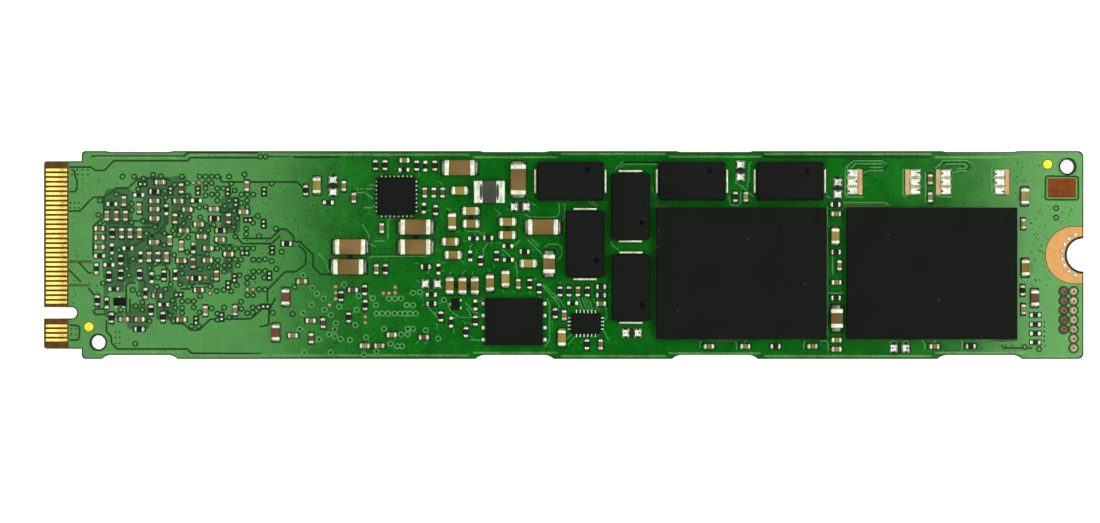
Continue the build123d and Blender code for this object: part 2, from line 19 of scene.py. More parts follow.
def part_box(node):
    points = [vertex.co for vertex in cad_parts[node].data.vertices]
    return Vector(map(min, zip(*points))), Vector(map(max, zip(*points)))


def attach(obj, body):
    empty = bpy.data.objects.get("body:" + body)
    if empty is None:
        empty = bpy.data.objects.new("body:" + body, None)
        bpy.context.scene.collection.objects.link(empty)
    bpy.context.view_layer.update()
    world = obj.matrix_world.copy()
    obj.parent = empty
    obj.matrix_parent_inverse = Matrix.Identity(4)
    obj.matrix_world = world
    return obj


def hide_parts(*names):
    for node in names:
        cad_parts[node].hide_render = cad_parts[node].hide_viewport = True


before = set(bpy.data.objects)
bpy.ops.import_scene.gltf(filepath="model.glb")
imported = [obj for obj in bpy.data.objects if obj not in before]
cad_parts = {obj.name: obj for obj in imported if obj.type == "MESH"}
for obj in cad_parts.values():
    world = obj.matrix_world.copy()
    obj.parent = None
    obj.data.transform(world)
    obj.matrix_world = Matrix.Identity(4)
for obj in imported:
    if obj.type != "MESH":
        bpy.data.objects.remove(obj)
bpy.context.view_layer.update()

log = logging.getLogger("drive_card")
MM = 0.001
BODY = "root"

Point = tuple[float, float]
Colour = tuple[float, float, float]


class Side(Enum):
    """The two faces of the card."""

    UPPER = 1
    LOWER = -1


# ---- shader expressions

class Value:
    """A number socket that Python's operators turn into Math nodes."""

    def __init__(self, graph: "Graph", socket: Any) -> None:
        """Wrap a socket of the given graph."""
        self.graph = graph
        self.socket = socket

    def _math(self, operation: str, first: Any, second: Any) -> "Value":
        """Add one Math node.

        Args:
            operation: the node's operation.
            first: its first value or link.
            second: its second value or link.

        Returns:
            The node's result.
        """
        made = self.graph.node("ShaderNodeMath", {"operation": operation}, {0: first, 1: second})
        return Value(self.graph, made.outputs[0])

    def __add__(self, other: Any) -> "Value":
        """Return self + other."""
        return self._math("ADD", self, other)

    def __radd__(self, other: Any) -> "Value":
        """Return other + self."""
        return self._math("ADD", other, self)

    def __sub__(self, other: Any) -> "Value":
        """Return self - other."""
        return self._math("SUBTRACT", self, other)

    def __rsub__(self, other: Any) -> "Value":
        """Return other - self."""
        return self._math("SUBTRACT", other, self)

    def __mul__(self, other: Any) -> "Value":
        """Return self * other."""
        return self._math("MULTIPLY", self, other)

    def __rmul__(self, other: Any) -> "Value":
        """Return other * self."""
        return self._math("MULTIPLY", other, self)

    def above(self, limit: float) -> "Value":
        """Return 1 where the value is over the limit and 0 elsewhere."""
        return self._math("GREATER_THAN", self, limit)


class Graph:
    """The node tree of one material, with one method that adds any node."""

    def __init__(self, name: str) -> None:
        """Start an empty material with its output and its surface shader.

        Args:
            name: the material's name.
        """
        self.material = bpy.data.materials.new(name)
        self.material.use_nodes = True
        self.tree = self.material.node_tree
        self.tree.nodes.clear()
        self.surface = self.node("ShaderNodeBsdfPrincipled")
        self.node("ShaderNodeOutputMaterial", None, {"Surface": self.surface.outputs["BSDF"]})
        self.place = self.node("ShaderNodeTexCoord").outputs["Object"]

    def node(self, kind: str, settings: dict[str, Any] | None = None,
             inputs: dict[Any, Any] | None = None) -> Any:
        """Add a node.

        Args:
            kind: the node's type name.
            settings: its properties, set before its sockets; "stops" fills a colour ramp.
            inputs: socket name or number to a plain value or a link.

        Returns:
            The new node.
        """
        made = self.tree.nodes.new(kind)
        for key, value in (settings or {}).items():
            if key == "stops":
                self._fill_ramp(made.color_ramp, value)
            else:
                setattr(made, key, value)
        for key, value in (inputs or {}).items():
            self.feed(made.inputs[key], value)
        return made

    def feed(self, socket: Any, value: Any) -> None:
        """Link or set one input socket.

        Args:
            socket: the input socket.
            value: a plain value, a colour, a socket or a wrapped one.
        """
        source = value.socket if isinstance(value, Value) else value
        if isinstance(source, bpy.types.NodeSocket):
            self.tree.links.new(source, socket)
        elif isinstance(source, tuple) and len(source) == 3 and socket.type == "RGBA":
            socket.default_value = (*source, 1.0)
        else:
            socket.default_value = source

    @staticmethod
    def _fill_ramp(ramp: Any, stops: Sequence[tuple[float, float]]) -> None:
        """Give a colour ramp its grey stops.

        Args:
            ramp: the colour ramp.
            stops: the position and the grey of each stop.
        """
        while len(ramp.elements) < len(stops):
            ramp.elements.new(0.5)
        for element, (position, grey) in zip(ramp.elements, stops):
            element.position = position
            element.color = (grey, grey, grey, 1.0)

    def noise(self, scale: float, detail: float = 2.0,
              stretch: Sequence[float] = (1, 1, 1)) -> Value:
        """Add noise on Object coordinates.

        Args:
            scale: its cycles for each millimetre.
            detail: its octaves.
            stretch: how much denser it is along each axis.

        Returns:
            The noise, from 0 to 1.
        """
        spread = tuple(scale / MM * axis for axis in stretch)
        mapped = self.node("ShaderNodeMapping", None, {"Vector": self.place, "Scale": spread})
        made = self.node("ShaderNodeTexNoise", {"noise_dimensions": "3D"},
                         {"Vector": mapped.outputs[0], "Scale": 1.0, "Detail": detail})
        return Value(self, made.outputs["Fac"])

    def cells(self, scale: float) -> Value:
        """Add scattered points.

        Args:
            scale: how many points for each millimetre.

        Returns:
            The distance to the nearest point.
        """
        mapped = self.node("ShaderNodeMapping", None,
                           {"Vector": self.place, "Scale": (scale / MM,) * 3})
        made = self.node("ShaderNodeTexVoronoi", {"voronoi_dimensions": "3D"},
                         {"Vector": mapped.outputs[0], "Scale": 1.0})
        return Value(self, made.outputs["Distance"])

    def ramp(self, value: Value, low: float, high: float) -> Value:
        """Stretch a value.

        Args:
            value: what goes in.
            low: the value that becomes 0.
            high: the value that becomes 1.

        Returns:
            The stretched value, held between 0 and 1.
        """
        made = self.node("ShaderNodeValToRGB", {"stops": [(low, 0.0), (high, 1.0)]}, {"Fac": value})
        return Value(self, made.outputs["Color"])

    def mix(self, first: Any, second: Any, factor: Any) -> Any:
        """Mix two colours.

        Args:
            first: the colour at a factor of 0.
            second: the colour at a factor of 1.
            factor: a number or a link.

        Returns:
            The mixed colour's socket.
        """
        made = self.node("ShaderNodeMix", {"data_type": "RGBA"},
                         {"Factor": factor, 6: first, 7: second})
        return made.outputs[2]

    def bump(self, height: Value, strength: float, distance: float) -> Any:
        """Bend the normal by a height.

        Args:
            height: the height's value.
            strength: how much of the bend is used.
            distance: the depth of a full step in millimetres.

        Returns:
            The normal's socket.
        """
        made = self.node("ShaderNodeBump", None,
                         {"Height": height, "Strength": strength, "Distance": distance * MM})
        return made.outputs[0]

    def dress(self, **values: Any) -> None:
        """Set the surface shader's sockets, an underscore standing for each space."""
        for key, value in values.items():
            self.feed(self.surface.inputs[key.replace("_", " ")], value)


# ---- finishes

@dataclass(frozen=True)
class Finish:
    """A named surface, the name of a material slot, which nothing here uses, and its main colour.
    """

    name: str
    slot: str
    colour: Colour

    def shade(self, graph: Graph) -> None:
        """Fill in the material's nodes.

        Args:
            graph: the material's node tree.
        """
        graph.dress(Base_Color=self.colour)

    def material(self) -> bpy.types.Material:
        """Make the finish's material, or find it.

        Returns:
            The material, the same one for each piece.
        """
        name = f"{self.name}_finish"
        found = bpy.data.materials.get(name)
        if found:
            return found
        graph = Graph(name)
        self.shade(graph)
        return graph.material


@dataclass(frozen=True)
class Lacquer(Finish):
    """Glossy green solder mask over copper or over bare laminate."""

    mottle: float = 0.16
    roughness: float = 0.07
    sheen: float = 1.0
    reflection: tuple[float, float, float, float] = (0.52, 1.0, 0.42, 1.0)
    pit_shade: float = 0.35

    def shade(self, graph: Graph) -> None:
        """Mottled green with fine pits and a slightly wavy gloss.

        Args:
            graph: the material's node tree.
        """
        cloud = graph.noise(0.55, 4.0)
        grain = graph.noise(5.0, 2.0)
        pits = graph.ramp(graph.cells(1.25), 0.05, 0.16)
        light = tuple(min(1.0, part * (1 + self.mottle * 1.6)) for part in self.colour)
        dark = tuple(part * (1 - self.mottle * 1.9) for part in self.colour)
        patchy = graph.mix(dark, light, graph.ramp(cloud * 0.45 + grain * 0.55, 0.38, 0.62))
        pitted = tuple(part * self.pit_shade for part in self.colour)
        graph.dress(Base_Color=graph.mix(pitted, patchy, pits),
                    Roughness=self.roughness + grain * 0.04 + cloud * 0.03,
                    Specular_IOR_Level=self.sheen, Specular_Tint=self.reflection,
                    Normal=graph.bump(grain * 0.5 + cloud, 0.06, 0.03))


@dataclass(frozen=True)
class Metal(Finish):
    """Plated or soldered metal."""

    roughness: float = 0.3
    grain: float = 0.1
    tarnish: float = 0.25
    metallic: float = 0.6

    def shade(self, graph: Graph) -> None:
        """Bright metal with dull patches and fine dents.

        Args:
            graph: the material's node tree.
        """
        patches = graph.noise(1.6, 3.0)
        fine = graph.noise(9.0, 2.0)
        dull = tuple(part * (1 - self.tarnish) for part in self.colour)
        graph.dress(Base_Color=graph.mix(dull, self.colour, graph.ramp(patches, 0.35, 0.6)),
                    Metallic=self.metallic, Roughness=self.roughness + patches * self.grain,
                    Normal=graph.bump(fine + patches, self.grain * 2, 0.02))


@dataclass(frozen=True)
class Ceramic(Finish):
    """Fired ceramic, with colour that varies from chip to chip and fine speckles."""

    roughness: float = 0.42
    gloss: float = 0.15
    west: Colour | None = None
    west_of: float = -28.0
    east_of: float = 49.38

    def shade(self, graph: Graph) -> None:
        """Even colour with a slow drift and small pores, and another batch at both ends.

        Args:
            graph: the material's node tree.
        """
        drift = graph.noise(0.35, 1.0)
        pores = graph.noise(14.0, 3.0)
        light = tuple(min(1.0, part * 1.35) for part in self.colour)
        dark = tuple(part * 0.72 for part in self.colour)
        tone = graph.ramp(drift * 0.75 + pores * 0.25, 0.3, 0.7)
        body = graph.mix(dark, light, tone)
        if self.west:
            across = graph.node("ShaderNodeSeparateXYZ", None, {"Vector": graph.place}).outputs["X"]
            body = graph.mix(self.west, body, Value(graph, across).above(self.west_of * MM))
            body = graph.mix(body, self.west, Value(graph, across).above(self.east_of * MM))
        graph.dress(Base_Color=body, Roughness=self.roughness + pores * 0.1,
                    Specular_IOR_Level=self.gloss, Normal=graph.bump(pores, 0.15, 0.01))


@dataclass(frozen=True)
class Mould(Finish):
    """Matte black moulding compound."""

    roughness: float = 0.55
    gloss: float = 0.08
    speck: Colour = (0.05, 0.05, 0.045)
    speck_share: float = 0.7

    def shade(self, graph: Graph) -> None:
        """Nearly black with a sandy texture and a few pale specks.

        Args:
            graph: the material's node tree.
        """
        sand = graph.noise(6.0, 4.0)
        cloud = graph.noise(0.25, 3.0)
        specks = 1 - graph.ramp(graph.cells(0.42), 0.035, 0.06)
        light = tuple(part * 1.7 for part in self.colour)
        body = graph.mix(self.colour, light, graph.ramp(sand * 0.4 + cloud * 0.6, 0.35, 0.7))
        graph.dress(Base_Color=graph.mix(body, self.speck, specks * self.speck_share),
                    Roughness=self.roughness + sand * 0.2, Specular_IOR_Level=self.gloss,
                    Normal=graph.bump(sand, 0.25, 0.02))


@dataclass(frozen=True)
class Laminate(Finish):
    """Bare glass-cloth laminate, whose weave shows through the resin; darker past the tongue."""

    bare_to: float = 1000.0
    under_mask: Colour = (0.012, 0.022, 0.006)

    def shade(self, graph: Graph) -> None:
        """Brown resin with crossing threads.

        Args:
            graph: the material's node tree.
        """
        warp = graph.noise(2.2, 1.0, (1.0, 0.12, 1.0))
        weft = graph.noise(2.2, 1.0, (0.12, 1.0, 1.0))
        weave = graph.ramp(warp * 0.5 + weft * 0.5, 0.38, 0.62)
        dark = tuple(part * 0.7 for part in self.colour)
        light = tuple(min(1.0, part * 1.3) for part in self.colour)
        across = graph.node("ShaderNodeSeparateXYZ", None, {"Vector": graph.place}).outputs["X"]
        covered = Value(graph, across).above(self.bare_to * MM)
        graph.dress(Base_Color=graph.mix(graph.mix(dark, light, weave), self.under_mask, covered),
                    Roughness=0.38 + weave * 0.1, Specular_IOR_Level=0.1,
                    Normal=graph.bump(weave, 0.1, 0.01))


@dataclass(frozen=True)
class Paper(Finish):
    """A plain printed label's face."""

    def shade(self, graph: Graph) -> None:
        """White paper with faint fibres.

        Args:
            graph: the material's node tree.
        """
        fibres = graph.noise(1.5, 5.0, (1.0, 0.3, 1.0))
        grey = tuple(part * 0.92 for part in self.colour)
        graph.dress(Base_Color=graph.mix(grey, self.colour, graph.ramp(fibres, 0.35, 0.6)),
                    Roughness=0.6 + fibres * 0.15, Normal=graph.bump(fibres, 0.1, 0.01))


@dataclass(frozen=True)
class FloorPaint(Finish):
    """The studio floor, lit a little from below."""

    glow: float = 0.7

    def shade(self, graph: Graph) -> None:
        """Plain pale matte paint.

        Args:
            graph: the material's node tree.
        """
        graph.dress(Base_Color=self.colour, Roughness=0.9, Specular_IOR_Level=0.0,
                    Emission_Color=(1.0, 1.0, 1.0, 1.0), Emission_Strength=self.glow)


MASK = Lacquer("solder_mask_green", "green_mask", (0.0008, 0.120, 0.0045))
# Dark lacquer over bare laminate; also painted shade on via rims at the ends and on via centres in
# the middle.
MASK_DARK = Lacquer("mask_over_laminate_and_via_shade", "green_mask", (0.001, 0.022, 0.003), 0.1, 0.2, 0.3)
MASK_BARE = Lacquer("mask_without_copper", "green_mask", (0.010, 0.062, 0.018), 0.25, 0.1, 0.45)
MASK_SHADOW = Lacquer("mask_in_shadow", "green_mask", (0.001, 0.008, 0.002), 0.1, 0.3, 0.1)
# Light lacquer over traces; also painted highlight on via rims in the middle and on via centres at
# the ends.
MASK_LIGHT = Lacquer("mask_over_trace_and_via_highlight", "green_mask", (0.040, 0.210, 0.045), 0.12, 0.2)
MASK_EDGE = Lacquer("mask_over_edge_copper", "green_mask", (0.062, 0.195, 0.045), 0.2, 0.2)
MASK_BROWN = Lacquer("mask_over_brown_laminate", "green_mask", (0.045, 0.070, 0.012), 0.1, 0.2, 0.4)
GOLD = Metal("contact_gold", "contact_gold", (1.0, 0.72, 0.16), 0.24, 0.08, 0.12)
FIDUCIAL = Metal("fiducial_gold", "contact_gold", (0.80, 0.68, 0.03), 0.4, 0.1, 0.1)
COPPER = Metal("bare_copper", "bare_copper", (0.54, 0.27, 0.078), 0.42, 0.1, 0.12)
LAND_COPPER = Metal("land_copper", "bare_copper", (0.50, 0.30, 0.13), 0.42, 0.1, 0.2)
TEST_COPPER = Metal("test_pad_metal", "dull_copper", (0.46, 0.37, 0.21), 0.4, 0.2, 0.35)
TEST_BROWN = Metal("test_pad_brown", "dull_copper", (0.17, 0.10, 0.05), 0.4, 0.2, 0.35)
SOLDER = Metal("solder", "solder", (0.66, 0.73, 0.57), 0.26, 0.18, 0.4, 0.65)
# A darkened copy of the solder: painted shade on the fillets and on the lands they sit on.
FILLET = Metal("solder_fillet", "solder", (0.22, 0.27, 0.19), 0.28, 0.2, 0.6, 0.9)
TIN = Metal("tin_plate", "tinned_metal", (0.72, 0.76, 0.58), 0.36, 0.12, 0.35)
CAN = Metal("crystal_can_metal", "can_metal", (0.72, 0.70, 0.66), 0.3, 0.1, 0.1)
TAN = Ceramic("tan_ceramic", "tan_ceramic", (0.200, 0.170, 0.075))
BROWN = Ceramic("brown_ceramic", "brown_ceramic", (0.165, 0.100, 0.026))
UMBER = Ceramic("umber_ceramic", "brown_ceramic", (0.150, 0.110, 0.048))
DARK = Ceramic("dark_ceramic", "dark_ceramic", (0.085, 0.050, 0.030))
GOLDEN = Ceramic("golden_ceramic", "tan_ceramic", (0.270, 0.215, 0.050), west=(0.135, 0.050, 0.028))
AMBER = Ceramic("amber_ceramic", "brown_ceramic", (0.210, 0.145, 0.028), west=(0.135, 0.050, 0.028))
# Near-black resistor glaze, also used as painted shadow in the gaps between capacitors.
GLAZE_AND_GAP_SHADOW = Ceramic("resistor_glaze", "resistor_glaze", (0.004, 0.006, 0.004), 0.4)
FERRITE = Ceramic("ferrite", "ferrite", (0.050, 0.056, 0.040), 0.5)
CHIP_BLACK = Mould("chip_mould", "chip_mould", (0.0036, 0.0048, 0.0036))
# Painted shade: near-black discs over the small dimples of the cases.
DIMPLE_SHADE = Mould("dimple_shade_paint", "case_mould", (0.0012, 0.0014, 0.0012), 0.8)
CASE_BLACK = Mould("case_mould", "case_mould", (0.0034, 0.0047, 0.0035), 0.5)
SUBSTRATE = Lacquer("package_laminate", "package_laminate", (0.010, 0.035, 0.012), 0.1, 0.3)
BOARD = Laminate("board_laminate", "bare_laminate", (0.095, 0.043, 0.004), -52.4)
WINDOW = Laminate("window_laminate", "bare_laminate", (0.185, 0.043, 0.002))
LABEL = Paper("blank_label", "label_paper", (0.82, 0.82, 0.80))
FLOOR = FloorPaint("studio_floor", "", (0.40, 0.40, 0.40), 0.85)


# ---- places read from the CAD

@dataclass(frozen=True)
class Block:
    """One solid of a CAD node, as the box round it, in millimetres."""

    low: Vector
    high: Vector

    @property
    def centre(self) -> Vector:
        """The middle of the box."""
        return (self.low + self.high) / 2

    @property
    def size(self) -> Vector:
        """The box's three sides."""
        return self.high - self.low

    @property
    def turn(self) -> float:
        """The angle about Z that lays a long side along X onto the box."""
        return 0.0 if self.size.x >= self.size.y else math.pi / 2

    @property
    def laid(self) -> Vector:
        """The sides with the longer flat side first."""
        size = self.size
        return Vector((max(size.x, size.y), min(size.x, size.y), size.z))


def blocks(node: str) -> list[Block]:
    """Return the separate solids of a CAD node.

    Args:
        node: the CAD node's name.

    Returns:
        One block for each solid, in a fixed order.
    """
    mesh = bmesh.new()
    mesh.from_mesh(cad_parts[node].data)
    bmesh.ops.remove_doubles(mesh, verts=mesh.verts, dist=1e-7)
    seen: set[int] = set()
    found = []
    mesh.verts.ensure_lookup_table()
    for start in mesh.verts:
        if start.index in seen:
            continue
        seen.add(start.index)
        stack = [start]
        corners = []
        while stack:
            corner = stack.pop()
            corners.append(corner.co / MM)
            for edge in corner.link_edges:
                other = edge.other_vert(corner)
                if other.index not in seen:
                    seen.add(other.index)
                    stack.append(other)
        low = Vector(min(corner[axis] for corner in corners) for axis in range(3))
        high = Vector(max(corner[axis] for corner in corners) for axis in range(3))
        found.append(Block(low, high))
    mesh.free()
    return sorted(found, key=lambda block: tuple(round(part, 3) for part in block.centre))


# ---- meshes

def keep(name: str, mesh: bpy.types.Mesh, finish: Finish) -> bpy.types.Object:
    """Put a finished mesh in the scene as a piece that rides on the card.

    Args:
        name: the piece's name.
        mesh: its mesh, in metres and in place.
        finish: its surface.

    Returns:
        The piece's object.
    """
    mesh.name = name
    mesh.materials.clear()
    mesh.materials.append(finish.material())
    piece = bpy.data.objects.new(name, mesh)
    bpy.context.scene.collection.objects.link(piece)
    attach(piece, BODY)
    log.info("%s: %d faces", name, len(mesh.polygons))
    return piece


def finished(shape: bmesh.types.BMesh, name: str) -> bpy.types.Mesh:
    """Turn a shape into a mesh and free the shape.

    Args:
        shape: the shape, in metres.
        name: the mesh's name.

    Returns:
        The mesh.
    """
    mesh = bpy.data.meshes.new(name)
    shape.to_mesh(mesh)
    shape.free()
    return mesh


def smooth(mesh: bpy.types.Mesh, angle: float) -> bpy.types.Mesh:
    """Shade a mesh smooth, except along its sharp edges.

    Args:
        mesh: the mesh, which is changed.
        angle: the angle in degrees past which an edge stays sharp.

    Returns:
        The same mesh.
    """
    mesh.polygons.foreach_set("use_smooth", [True] * len(mesh.polygons))
    mesh.set_sharp_from_angle(angle=math.radians(angle))
    return mesh


def rounded_block(size: Sequence[float], edge: float, steps: int = 2) -> bpy.types.Mesh:
    """Make a block with rounded edges, centred on the origin.

    Args:
        size: its sides in millimetres.
        edge: the radius of its edges.
        steps: how many faces round each edge.

    Returns:
        The mesh, in metres.
    """
    shape = bmesh.new()
    bmesh.ops.create_cube(shape, size=1.0)
    for corner in shape.verts:
        corner.co = Vector(corner.co[axis] * size[axis] * MM for axis in range(3))
    radius = min(edge, min(size) * 0.45) * MM
    bmesh.ops.bevel(shape, geom=shape.edges[:], offset=radius, segments=steps, profile=0.5,
                    affect="EDGES", clamp_overlap=True)
    return smooth(finished(shape, "rounded_block"), 50.0)


def flat_patch(corner: float = 0.3) -> bpy.types.Mesh:
    """Make a flat square of side 1 mm with round corners, facing up.

    Args:
        corner: the radius of its corners in millimetres.

    Returns:
        The mesh, in metres.
    """
    shape = bmesh.new()
    rim = []
    steps = 3
    for quarter in range(4):
        middle = Vector((0.5 - corner, 0.5 - corner, 0))
        turn = Matrix.Rotation(quarter * math.pi / 2, 3, "Z")
        for step in range(steps + 1):
            angle = step / steps * math.pi / 2
            point = middle + Vector((math.cos(angle), math.sin(angle), 0)) * corner
            rim.append(shape.verts.new(turn @ point * MM))
    shape.faces.new(rim)
    return finished(shape, "flat_patch")


def solder_pool(crown: float = 1.0, dent: float = 0.0, cells: int = 8) -> bpy.types.Mesh:
    """Make a pool of solder on a land of side 1 mm: low at its rim, domed or dented inside.

    Args:
        crown: the height of the dome in millimetres.
        dent: how far the middle of each side is drawn in and down.
        cells: how many faces along each side.

    Returns:
        The mesh, closed underneath, in metres.
    """
    shape = bmesh.new()
    rows = []
    for i in range(cells + 1):
        line = []
        for j in range(cells + 1):
            u = 2 * i / cells - 1
            v = 2 * j / cells - 1
            draw = 1 - dent * ((1 - u * u) * abs(v) ** 3 + (1 - v * v) * abs(u) ** 3)
            dome = (1 - u ** 4) * (1 - v ** 4)
            height = crown * (dome ** 0.5) * (1 - dent * 1.6 * math.exp(-3 * (u * u + v * v)))
            line.append(shape.verts.new((u / 2 * draw * MM, v / 2 * draw * MM, height * MM)))
        rows.append(line)
    for i in range(cells):
        for j in range(cells):
            shape.faces.new((rows[i][j], rows[i + 1][j], rows[i + 1][j + 1], rows[i][j + 1]))
    rim = [row[0] for row in rows] + rows[-1][1:] + [row[-1] for row in reversed(rows[:-1])]
    rim += list(reversed(rows[0][1:-1]))
    shape.faces.new(list(reversed(rim)))
    return smooth(finished(shape, "solder_pool"), 70.0)


def circle(shape: bmesh.types.BMesh, radius: float, height: float, steps: int) -> list[Any]:
    """Add the corners of a circle about the Z axis to a shape.

    Args:
        shape: the shape.
        radius: the circle's radius in millimetres.
        height: its height in millimetres.
        steps: how many corners it has.

    Returns:
        The new corners, in order.
    """
    angles = (2 * math.pi * k / steps for k in range(steps))
    return [shape.verts.new(Vector((math.cos(a) * radius, math.sin(a) * radius, height)) * MM)
            for a in angles]


def ring(inner: float, outer: float, rise: float, steps: int = 16) -> bpy.types.Mesh:
    """Make a flat ring with a low crown, facing up.

    Args:
        inner: its inner radius in millimetres.
        outer: its outer radius.
        rise: the height of its crown.
        steps: how many faces go round it.

    Returns:
        The mesh, in metres.
    """
    shape = bmesh.new()
    middle = (inner + outer) / 2
    loops = [circle(shape, radius, height, steps)
             for radius, height in ((inner, 0.0), (middle, rise), (outer, 0.0))]
    for low, high in zip(loops, loops[1:]):
        for k in range(steps):
            after = (k + 1) % steps
            shape.faces.new((low[k], high[k], high[after], low[after]))
    return smooth(finished(shape, "ring"), 60.0)


def disc(radius: float, rise: float, steps: int = 16) -> bpy.types.Mesh:
    """Make a low dome, facing up.

    Args:
        radius: its radius in millimetres.
        rise: its height.
        steps: how many faces go round it.

    Returns:
        The mesh, in metres.
    """
    shape = bmesh.new()
    rings = [circle(shape, radius * share, height * rise, steps)
             for share, height in ((1.0, 0.0), (0.85, 0.7), (0.5, 0.95))]
    for low, high in zip(rings, rings[1:]):
        for k in range(steps):
            after = (k + 1) % steps
            shape.faces.new((low[k], low[after], high[after], high[k]))
    shape.faces.new(rings[-1])
    return smooth(finished(shape, "disc"), 60.0)


def joined(name: str, meshes: Iterable[bpy.types.Mesh]) -> bpy.types.Mesh:
    """Join meshes into one.

    Args:
        name: the new mesh's name.
        meshes: the meshes, which are deleted.

    Returns:
        The new mesh.
    """
    shape = bmesh.new()
    for mesh in meshes:
        shape.from_mesh(mesh)
        bpy.data.meshes.remove(mesh)
    return finished(shape, name)


# ---- geometry nodes

@dataclass
class Spot:
    """Where one repeat of a part goes, in millimetres and radians."""

    place: Vector
    turn: float = 0.0
    stretch: Vector = field(default_factory=lambda: Vector((1.0, 1.0, 1.0)))


class NodeGroup:
    """A geometry node tree built in code, with named inputs."""

    def __init__(self, name: str) -> None:
        """Start a tree with a geometry input and output.

        Args:
            name: the tree's name.
        """
        self.tree = bpy.data.node_groups.new(name, "GeometryNodeTree")
        for way in ("INPUT", "OUTPUT"):
            self.tree.interface.new_socket("Geometry", in_out=way,
                                           socket_type="NodeSocketGeometry")
        self.start = self.tree.nodes.new("NodeGroupInput")
        self.end = self.tree.nodes.new("NodeGroupOutput")

    def add_input(self, name: str, kind: str) -> None:
        """Add a named input of a socket type, such as Float."""
        self.tree.interface.new_socket(name, in_out="INPUT", socket_type=f"NodeSocket{kind}")

    def node(self, kind: str, settings: dict[str, Any] | None = None,
             inputs: dict[Any, Any] | None = None) -> Any:
        """Add a node.

        Args:
            kind: the node's type name; a geometry node's without its usual beginning.
            settings: its properties, set before its sockets.
            inputs: socket name or number to a plain value or a link.

        Returns:
            The new node.
        """
        whole = kind.startswith(("Function", "Shader"))
        made = self.tree.nodes.new(kind if whole else f"GeometryNode{kind}")
        for key, value in (settings or {}).items():
            setattr(made, key, value)
        for key, value in (inputs or {}).items():
            if isinstance(value, bpy.types.NodeSocket):
                self.tree.links.new(value, made.inputs[key])
            else:
                made.inputs[key].default_value = value
        return made

    def close(self, geometry: Any) -> None:
        """Realize the instances, set the material and end the tree.

        Args:
            geometry: the last geometry socket.
        """
        real = self.node("RealizeInstances", None, {"Geometry": geometry})
        painted = self.node("SetMaterial", None, {"Geometry": real.outputs[0],
                                                  "Material": self.start.outputs["Finish"]})
        self.tree.links.new(painted.outputs[0], self.end.inputs[0])

    def run(self, mesh: bpy.types.Mesh, values: dict[str, Any]) -> bpy.types.Mesh:
        """Run the tree on a mesh.

        Args:
            mesh: the mesh that goes in; it is deleted.
            values: named inputs of the tree.

        Returns:
            A plain mesh of the result.
        """
        holder = bpy.data.objects.new("holder", mesh)
        bpy.context.scene.collection.objects.link(holder)
        modifier = holder.modifiers.new("tree", "NODES")
        modifier.node_group = self.tree
        for item in self.tree.interface.items_tree:
            if item.in_out == "INPUT" and item.name in values:
                modifier[item.identifier] = values[item.name]
        depsgraph = bpy.context.evaluated_depsgraph_get()
        made = bpy.data.meshes.new_from_object(holder.evaluated_get(depsgraph), depsgraph=depsgraph)
        holder.modifiers.remove(modifier)
        bpy.data.objects.remove(holder)
        bpy.data.meshes.remove(mesh)
        return made


class Repeater:
    """Sets one part down at many spots, with a small random yaw."""

    def __init__(self) -> None:
        """Build the tree."""
        group = NodeGroup("set_parts_down")
        group.add_input("Part", "Object")
        group.add_input("Wobble", "Float")
        group.add_input("Seed", "Int")
        group.add_input("Finish", "Material")
        part = group.node("ObjectInfo", {"transform_space": "ORIGINAL"},
                          {"Object": group.start.outputs["Part"]})
        turn = group.node("InputNamedAttribute", {"data_type": "FLOAT"}, {"Name": "turn"})
        stretch = group.node("InputNamedAttribute", {"data_type": "FLOAT_VECTOR"},
                             {"Name": "stretch"})
        chance = group.node("FunctionNodeRandomValue", {"data_type": "FLOAT"},
                            {"Min": -1.0, "Max": 1.0, "Seed": group.start.outputs["Seed"]})
        sway = group.node("ShaderNodeMath", {"operation": "MULTIPLY_ADD"}, {
            0: chance.outputs[1], 1: group.start.outputs["Wobble"], 2: turn.outputs[0]})
        angles = group.node("ShaderNodeCombineXYZ", None, {"Z": sway.outputs[0]})
        spread = group.node("InstanceOnPoints", None, {
            "Points": group.start.outputs["Geometry"], "Instance": part.outputs["Geometry"],
            "Rotation": angles.outputs[0], "Scale": stretch.outputs[0]})
        group.close(spread.outputs[0])
        self.group = group

    def lay(self, part: bpy.types.Mesh, spots: Sequence[Spot], finish: Finish, wobble: float = 0.0,
            seed: int = 7) -> bpy.types.Mesh:
        """Set a part down at spots.

        Args:
            part: the part's mesh; it is deleted.
            spots: where it goes.
            finish: its surface.
            wobble: the largest random yaw in radians.
            seed: the random seed.

        Returns:
            One plain mesh.
        """
        points = bpy.data.meshes.new("points")
        points.from_pydata([spot.place * MM for spot in spots], [], [])
        points.attributes.new("turn", "FLOAT", "POINT").data.foreach_set(
            "value", [spot.turn for spot in spots])
        points.attributes.new("stretch", "FLOAT_VECTOR", "POINT").data.foreach_set(
            "vector", [part_of for spot in spots for part_of in spot.stretch])
        holder = bpy.data.objects.new("part", part)
        made = self.group.run(points, {"Part": holder, "Wobble": wobble, "Seed": seed,
                                       "Finish": finish.material()})
        bpy.data.objects.remove(holder)
        bpy.data.meshes.remove(part)
        return made

    def place(self, name: str, part: bpy.types.Mesh, spots: Sequence[Spot],
              finish: Finish) -> bpy.types.Object:
        """Set a part down at spots and keep the result as one piece."""
        return keep(name, self.lay(part, spots, finish), finish)


